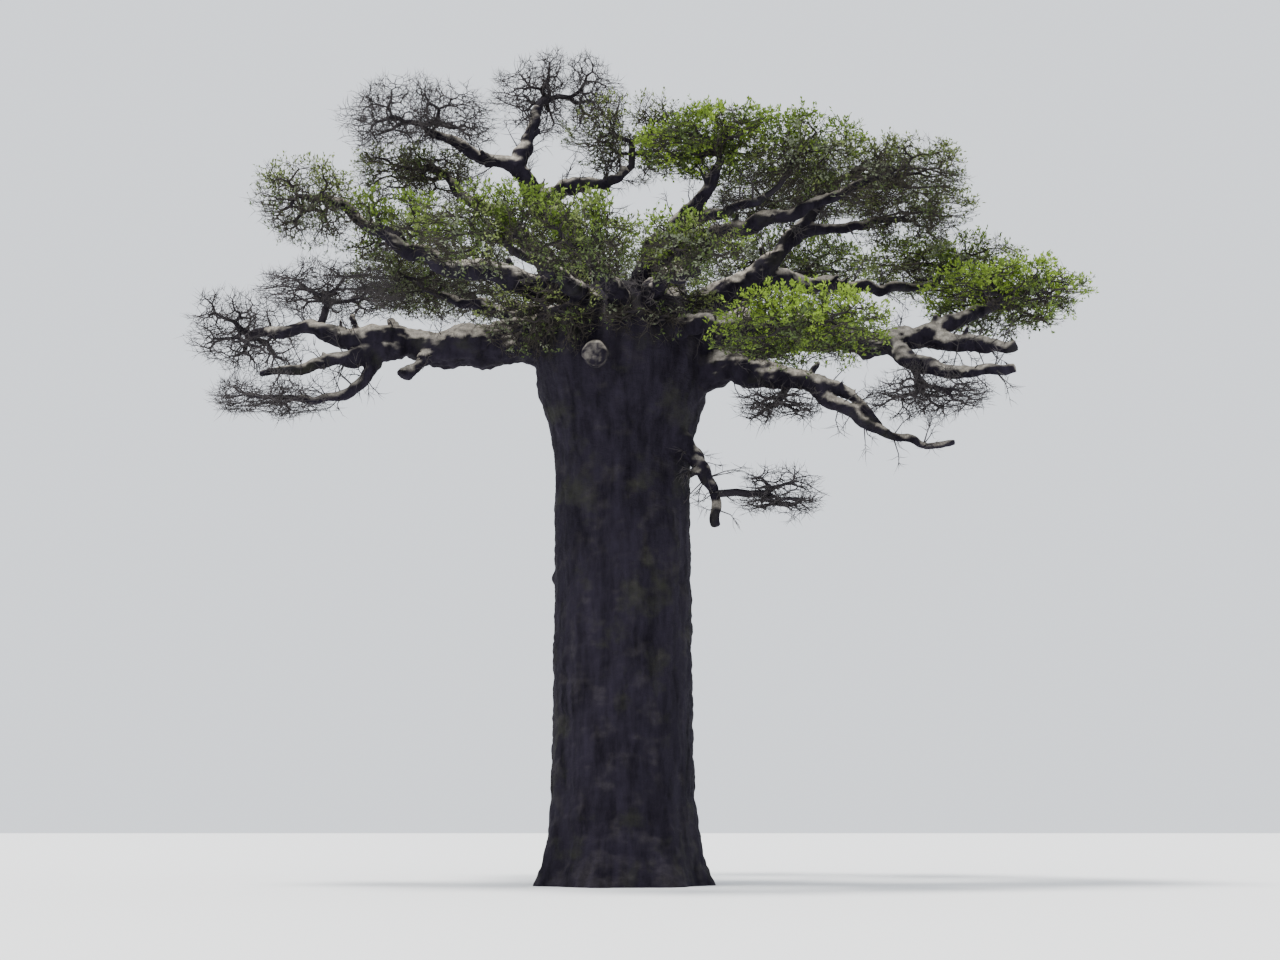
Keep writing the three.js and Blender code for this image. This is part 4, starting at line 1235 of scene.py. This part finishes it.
# Twigs. Seeds are added to the mass's own, except that of the sprouts.
SIDES_BY_RADIUS = ((0.055, 7), (0.028, 4), (0.0, 3))  # from this root radius up, a twig has so many sides
SHOOT_TAPER = 0.8  # a shoot is this share as thick as the finest twig
SHOOT_SEED = 900
SHOOTS = 2  # on each end twig
SHOOT_PLACE = (0.45, 0.85)  # shares of the end twig's last stretch
SHOOT_LENGTH = (0.14, 0.36)
SHOOT_STRAY, SHOOT_LIFT = 0.85, 0.3
INNER_SEED = 1700
INNER_TWIG = 0.07  # twigs thinner than this bear side shoots all along
INNER_SPACING = {"bare": 0.3, "sparse": 0.7}
INNER_LENGTH = (0.25, 0.6)
INNER_LEAN, INNER_LIFT = 0.5, 0.25
SHOOT_BEND = 0.5  # how far a shoot or sprout strays from its first way halfway along
SHOOT_CLEARANCE = 0.03
SPROUT_SEED = 61
FIRST_SPROUT = 2  # sprouts stand from this bend of a limb onwards
SPROUTS_AT_BEND = (2, 6)
SPROUT_LENGTH = (0.35, 1.1)
SPROUT_LEAN, SPROUT_LIFT = 0.5, 0.3
SPROUT_RADIUS = 0.024
SPROUT_TAPER = 0.7
SPROUT_SHOOTS = 8
SPROUT_SHOOT_PLACE = (0.05, 0.95)  # shares of the sprout's outer half
SPROUT_SHOOT_LENGTH = (0.2, 0.55)
SPROUT_STRAY = 1.1
PIECE_TRIANGLES = 190000


def rod_mesh(rods, sides):
    """Places, triangles and girths of tapering rods. Each runs from ring to ring and ends in a point."""
    places = np.concatenate([rod["places"] for rod in rods])
    radii = np.concatenate([rod["radii"] for rod in rods])
    counts = np.array([len(rod["places"]) for rod in rods])
    firsts = np.concatenate([[0], np.cumsum(counts)[:-1]])
    is_first, is_last = np.zeros(len(places), bool), np.zeros(len(places), bool)
    is_first[firsts] = True
    is_last[firsts + counts - 1] = True
    order = np.arange(len(places))
    after = places[np.where(is_last, order, np.minimum(order + 1, len(places) - 1))]
    before = places[np.where(is_first, order, np.maximum(order - 1, 0))]
    course = unit(after - before)
    whole = np.abs(unit(places[firsts + counts - 1] - places[firsts]))
    reference = np.repeat(np.eye(3)[np.argmin(whole, axis=1)], counts, axis=0)
    across = unit(np.cross(course, reference))
    along = np.cross(course, across)
    base = np.concatenate([[0], np.cumsum(np.where(is_last, 1, sides))[:-1]])
    corners = np.empty((base[-1] + 1, 3))
    corners[base[is_last]] = places[is_last]
    girths = np.zeros(len(corners))
    rings = ~is_last
    for side in range(sides):
        angle = 2 * math.pi * side / sides
        off = across[rings] * math.cos(angle) + along[rings] * math.sin(angle)
        corners[base[rings] + side] = places[rings] + radii[rings][:, None] * off
        girths[base[rings] + side] = radii[rings]
    starts = order[rings]
    tubes, spikes = starts[~is_last[starts + 1]], starts[is_last[starts + 1]]
    triangles = []
    for side in range(sides):
        other = (side + 1) % sides
        a, b = base[tubes] + side, base[tubes] + other
        c, d = base[tubes + 1] + other, base[tubes + 1] + side
        triangles += [np.stack([a, b, c], 1), np.stack([a, c, d], 1)]
        triangles.append(np.stack([base[spikes] + side, base[spikes] + other, base[spikes + 1]], 1))
    for side in range(1, sides - 1):
        triangles.append(np.stack([base[firsts], base[firsts] + side + 1, base[firsts] + side], 1))
    return corners, np.concatenate(triangles), girths


def joined_arrays(parts):
    """Several sets of places, triangles and girths as one set."""
    places, triangles, girths = zip(*parts)
    shifts = np.cumsum([0] + [len(some) for some in places[:-1]])
    shifted = [some + shift for some, shift in zip(triangles, shifts)]
    return np.concatenate(places), np.concatenate(shifted), np.concatenate(girths)


def ends_of(grown):
    """The end twigs of a mass: the places where each one starts its last stretch and where it ends."""
    rods = [rod for rod in grown["rods"] if rod["clump"] >= 0]
    return rods, np.array([rod["places"][-2] for rod in rods]), np.array([rod["places"][-1] for rod in rods])


def shoots_of(grown):
    """The places where the side shoots near each end twig's tip start and end."""
    chance = np.random.default_rng(grown["seed"] + SHOOT_SEED)
    _, before, tips = ends_of(grown)
    shape = (len(tips), SHOOTS)
    share = chance.uniform(*SHOOT_PLACE, shape)[..., None]
    starts = before[:, None] * (1 - share) + tips[:, None] * share
    astray = SHOOT_STRAY * any_ways(chance, shape)
    ways = unit(unit(tips - before)[:, None] + astray + SHOOT_LIFT * UP)
    return starts, starts + ways * chance.uniform(*SHOOT_LENGTH, shape)[..., None]


def inner_shoots_of(grown, spacing, finest):
    """Crooked side shoots along the inner twigs of a mass, clear of the bark."""
    chance = np.random.default_rng(grown["seed"] + INNER_SEED)
    stretches = [(a, b, radius) for rod in grown["rods"]
                 for a, b, radius in zip(rod["places"][:-2], rod["places"][1:-1], rod["radii"])]
    starts, stops, radii = (np.array(column) for column in zip(*stretches))
    lengths = np.linalg.norm(stops - starts, axis=1) * (radii < INNER_TWIG)
    counts = (lengths / spacing + chance.random(len(starts))).astype(int)
    chosen = np.repeat(np.arange(len(starts)), counts)
    roots = mix(starts[chosen], stops[chosen], chance.random((len(chosen), 1)))
    ways = slanting(unit(stops - starts)[chosen], INNER_LEAN, INNER_LIFT, chance)
    bent = unit(ways + SHOOT_BEND * any_ways(chance, (len(chosen),)))
    reach = chance.uniform(*INNER_LENGTH, (len(chosen), 1))
    middles = roots + ways * reach / 2
    ends = middles + bent * reach / 2
    clear = np.minimum(gap_to_bark(middles), gap_to_bark(ends)) > SHOOT_CLEARANCE
    shoots = np.stack([roots, middles, ends], axis=1)[clear]
    return [dict(places=places, radii=[finest, SHOOT_TAPER * finest, 0]) for places in shoots]


def bent_rod(root, way, reach, radius, chance):
    """A short twig that bends halfway."""
    middle = root + way * reach / 2
    end = middle + unit(way + SHOOT_BEND * any_ways(chance)) * reach / 2
    return dict(places=[root, middle, end], radii=[radius, SPROUT_TAPER * radius, 0])


def sprouts(finest):
    """Small forked twigs that stand out of the limbs at their bends, between the masses."""
    chance = np.random.default_rng(SPROUT_SEED)
    rods = []
    for limb in grown_limbs().values():
        for i in range(FIRST_SPROUT, LIMB_STEPS):
            root, course = limb["path"][i], unit(limb["path"][i + 1] - limb["path"][i])
            for _ in range(chance.integers(*SPROUTS_AT_BEND)):
                way = slanting(course, SPROUT_LEAN, SPROUT_LIFT, chance)
                reach = limb_radius(limb, i / LIMB_STEPS) + chance.uniform(*SPROUT_LENGTH)
                rods.append(bent_rod(root, way, reach, SPROUT_RADIUS, chance))
                middle, end = rods[-1]["places"][1:]
                for t in chance.uniform(*SPROUT_SHOOT_PLACE, SPROUT_SHOOTS):
                    side = unit(way + SPROUT_STRAY * any_ways(chance))
                    length = chance.uniform(*SPROUT_SHOOT_LENGTH)
                    rods.append(bent_rod(mix(middle, end, t), side, length, finest, chance))
    return rod_mesh(rods, 3)


def twig_mesh(grown, finest):
    """The twigs of one mass, with more sides on the stouter ones."""
    rods = [dict(rod, radii=[max(r, finest) for r in rod["radii"][:-1]] + [0]) for rod in grown["rods"]]
    kind = grown["mass"]["leaves"]
    if kind in INNER_SPACING:
        rods += inner_shoots_of(grown, INNER_SPACING[kind], finest)
    starts, ends = (places.reshape(-1, 3) for places in shoots_of(grown))
    rods += [dict(places=[a, b], radii=[SHOOT_TAPER * finest, 0]) for a, b in zip(starts, ends)]
    parts = []
    highest = math.inf
    for least, sides in SIDES_BY_RADIUS:
        some = [rod for rod in rods if least <= rod["radii"][0] < highest]
        highest = least
        if some:
            parts.append(rod_mesh(some, sides))
    return joined_arrays(parts)


def in_pieces(masses, meshes):
    """Masses that follow one another, in groups that each stay under the triangles of one piece."""
    groups = []
    held = math.inf
    for grown, mesh in zip(masses, meshes):
        held += len(mesh[1])
        if held > PIECE_TRIANGLES:
            groups.append(([], []))
            held = len(mesh[1])
        groups[-1][0].append(grown["mass"]["name"])
        groups[-1][1].append(mesh)
    return groups


def masses_of(kind):
    return [grown for grown in grown_twigs() if grown["mass"]["leaves"] == kind]


def nodes_of(kind):
    return [grown["mass"]["name"] for grown in masses_of(kind)]


def twig_piece(name, mesh, nodes, settings, bare):
    """A piece of twigs, bare or in leaf, with their girths."""
    places, triangles, girths = mesh
    colour = tuple(settings.bare if bare else settings.leafy)
    material = twig_finish("bare_twigs" if bare else "leafy_twigs", colour, tuple(settings.stout))
    put_attribute(mesh_piece(name, places, triangles, material, nodes), "girth", girths)


class BAOBAB_OT_twigs(bpy.types.Operator):
    """Grows the fine twigs of every mass on from its limb"""

    bl_idname = "baobab.twigs"
    bl_label = "Twigs"

    def execute(self, context):
        settings = context.scene.baobab_twigs
        for kind in KINDS:
            masses = masses_of(kind)
            meshes = [twig_mesh(grown, settings.finest) for grown in masses]
            for number, (nodes, parts) in enumerate(in_pieces(masses, meshes), 1):
                twig_piece(f"twigs_{kind}_{number}", joined_arrays(parts), nodes, settings, kind == "bare")
        boughs = ["bough_" + name for name in LIMBS]
        twig_piece("twigs_on_boughs", sprouts(settings.finest), boughs, settings, bare=True)
        return {"FINISHED"}


# Leaves.
# For each kind of mass: the share of its clumps in leaf, leaflets to a spray, and tints from the highest
# clumps to the lowest:
# partly the leaves' own greens, partly paler above as painted light and deeper below as painted shade.
LEAVES = {
    "sparse": dict(leafy=0.4, leaflets=3, size=0.85, tints=("olive_pale", "grey", "olive_deep")),
    "olive": dict(leafy=0.6, leaflets=3, size=1.0, tints=("fresh_deep", "olive_pale", "grey", "olive_deep")),
    "fresh": dict(leafy=0.78, leaflets=5, size=0.92, tints=("fresh_pale", "fresh_deep", "olive_deep")),
}
TINT_SEED = 5000  # added to the mass's own
SPRAY_SEED = 77
TINT_STRAY = 0.22  # how far a clump's tint strays from its height's own, as a share of all the tints
UNDER_LEAF = 0.3  # share of the leaves that the lowest twigs of a mass keep
SPRAY_SPREAD = 0.95
SPRAY_LIFT = 0.35
SPRAY_DEPTH = 0.16  # leaflets stand up to this far back from the twig's tip
LEAFLET_ROLL = 0.5
LEAFLET_LENGTHS = (0.65, 1.15)  # shares of the length and width set
LEAFLET_WIDTHS = (0.75, 1.1)
LEAFLET_WIDEST = 0.5
LEAFLET_FOLD = 0.22
ODD_LEAF = 0.12  # share of single twigs whose leaves go against their clump


def sprays_of(kind):
    """The twig ends in leaf of one kind of mass, with the way that each points and its tint, paler on high
    clumps as painted light and deeper on low ones as painted shade.
    """
    rule = LEAVES[kind]
    ends, ways, tints = [], [], []
    for grown in masses_of(kind):
        chance = np.random.default_rng(grown["seed"] + TINT_SEED)
        leafy = chance.random(grown["clumps"]) < rule["leafy"]
        rods, before, tips = ends_of(grown)
        clumps = np.array([rod["clump"] for rod in rods])
        odd = chance.random(len(rods)) < ODD_LEAF
        level = (tips[:, 2] - grown["mass"]["centre"][2]) / grown["mass"]["high"]
        top = np.full(grown["clumps"], -1.0)  # the level of each clump's highest tip
        np.maximum.at(top, clumps, level)
        # Higher clumps take the paler tints and lower ones the deeper: painted light above and painted shade
        # below, strayed at random.
        depth = 0.5 - top + chance.normal(size=len(top)) * TINT_STRAY
        tint = (np.clip(depth, 0, 0.999) * len(rule["tints"])).astype(int)
        kept = chance.random(len(rods)) < mix(UNDER_LEAF, 1, smooth(level + 0.5))
        chosen = (leafy[clumps] != odd) & kept
        starts, sides = shoots_of(grown)
        own_ends = np.concatenate([tips[:, None], sides], axis=1)[chosen]
        own_ways = np.concatenate([(tips - before)[:, None], sides - starts], axis=1)[chosen]
        ends.append(own_ends.reshape(-1, 3))
        ways.append(own_ways.reshape(-1, 3))
        tints.append(np.repeat(np.array(rule["tints"])[tint[clumps[chosen]]], SHOOTS + 1))
    return np.concatenate(ends), unit(np.concatenate(ways)), np.concatenate(tints)


def spray_mesh(ends, ways, leaflets, length, width, chance):
    """Leaflets round the end of each twig, each a folded lozenge of two faces."""
    shape = (len(ends), leaflets)
    spread = any_ways(chance, shape) * SPRAY_SPREAD
    out = unit(ways[:, None] + spread + SPRAY_LIFT * UP)
    side = unit(np.cross(out, unit(chance.normal(size=(*shape, 3)) * LEAFLET_ROLL + UP)))
    upper = np.cross(side, out)
    upper *= np.where(upper[..., 2:] < 0, -1, 1)
    long = (length * chance.uniform(*LEAFLET_LENGTHS, shape))[..., None]
    wide = (width * chance.uniform(*LEAFLET_WIDTHS, shape))[..., None]
    back = chance.uniform(0, SPRAY_DEPTH, shape)[..., None]
    root = ends[:, None] - ways[:, None] * back
    middle = root + out * long * LEAFLET_WIDEST + upper * wide * LEAFLET_FOLD
    corners = np.stack([root, middle - side * wide / 2, root + out * long, middle + side * wide / 2], axis=2)
    first = 4 * np.arange(len(ends) * leaflets)[:, None]
    triangles = np.concatenate([first + [0, 1, 2], first + [0, 2, 3]])
    return corners.reshape(-1, 3), triangles


class BAOBAB_OT_leaves(bpy.types.Operator):
    """Puts leaves in sprays at the ends of the twigs, one tint to a clump"""

    bl_idname = "baobab.leaves"
    bl_label = "Leaves"

    def execute(self, context):
        settings = context.scene.baobab_leaves
        chance = np.random.default_rng(SPRAY_SEED)
        for kind, rule in LEAVES.items():
            ends, ways, tints = sprays_of(kind)
            for tint in sorted(set(rule["tints"])):
                chosen = tints == tint
                size = rule["size"]
                places, triangles = spray_mesh(ends[chosen], ways[chosen], rule["leaflets"],
                                               settings.length * size, settings.width * size, chance)
                material = leaf_finish("leaf_" + tint, tuple(getattr(settings, tint)))
                mesh_piece(f"leaves_{kind}_{tint}", places, triangles, material, nodes_of(kind))
        return {"FINISHED"}


# Stage.
FLOOR_DROP = 0.002  # the floor lies this far below the trunk's cut
KEY_TURN = (math.radians(7), math.radians(-13), 0)
KEY_SOFTNESS = math.radians(14)
KEY_TINT = (1.0, 0.97, 0.92)
SKY_TINT = (0.86, 0.90, 0.96, 1)
PICTURE_WIDTH = 1280
SENSOR_WIDTH = 36
VIEW_DISTANCE = 1000


class BAOBAB_OT_stage(bpy.types.Operator):
    """Sets the floor, the soft light and the camera"""

    bl_idname = "baobab.stage"
    bl_label = "Stage"

    def execute(self, context):
        settings = context.scene.baobab_stage
        deselect()
        bpy.ops.mesh.primitive_plane_add(size=settings.floor_side, location=(0, 0, -FLOOR_DROP))
        floor = context.object
        floor.name = "floor"
        finish = Finish("pale_floor")
        finish.set("Base Color", (*settings.floor_colour, 1))
        finish.set("Roughness", 0.9)
        floor.data.materials.append(finish.material)
        bpy.ops.object.light_add(type="SUN", rotation=KEY_TURN)
        key = context.object.data
        key.energy = settings.sun
        key.angle = KEY_SOFTNESS
        key.color = KEY_TINT
        world = bpy.data.worlds.new("pale_room")
        world.use_nodes = True
        background = world.node_tree.nodes["Background"]
        background.inputs["Color"].default_value = SKY_TINT
        background.inputs["Strength"].default_value = settings.sky
        context.scene.world = world
        bpy.ops.object.camera_add(location=settings.eye, rotation=(math.pi / 2 + settings.tilt, 0, 0))
        camera = context.object
        camera.data.sensor_width = SENSOR_WIDTH
        camera.data.lens = settings.lens_pixels / PICTURE_WIDTH * SENSOR_WIDTH
        camera.data.clip_end = VIEW_DISTANCE
        context.scene.camera = camera
        return {"FINISHED"}


class BAOBAB_PT_sidebar(bpy.types.Panel):
    """Lists the steps that make the tree"""

    bl_label = "Baobab"
    bl_idname = "BAOBAB_PT_sidebar"
    bl_space_type = "VIEW_3D"
    bl_region_type = "UI"
    bl_category = "Baobab"

    def draw(self, context):
        for step in STEPS:
            self.layout.operator(step.bl_idname)


STEPS = (BAOBAB_OT_bark, BAOBAB_OT_twigs, BAOBAB_OT_leaves, BAOBAB_OT_stage)
SETTINGS = {
    "baobab_bark": BarkSettings,
    "baobab_twigs": TwigSettings,
    "baobab_leaves": LeafSettings,
    "baobab_stage": StageSettings,
}


def register():
    for kind in (*SETTINGS.values(), *STEPS, BAOBAB_PT_sidebar):
        bpy.utils.register_class(kind)
    for name, kind in SETTINGS.items():
        setattr(bpy.types.Scene, name, bpy.props.PointerProperty(type=kind))


def unregister():
    for name in SETTINGS:
        delattr(bpy.types.Scene, name)
    for kind in (BAOBAB_PT_sidebar, *STEPS, *SETTINGS.values()):
        bpy.utils.unregister_class(kind)


def main():
    register()
    bpy.ops.baobab.bark()
    bpy.ops.baobab.twigs()
    bpy.ops.baobab.leaves()
    bpy.ops.baobab.stage()


if __name__ == "__main__":
    main()
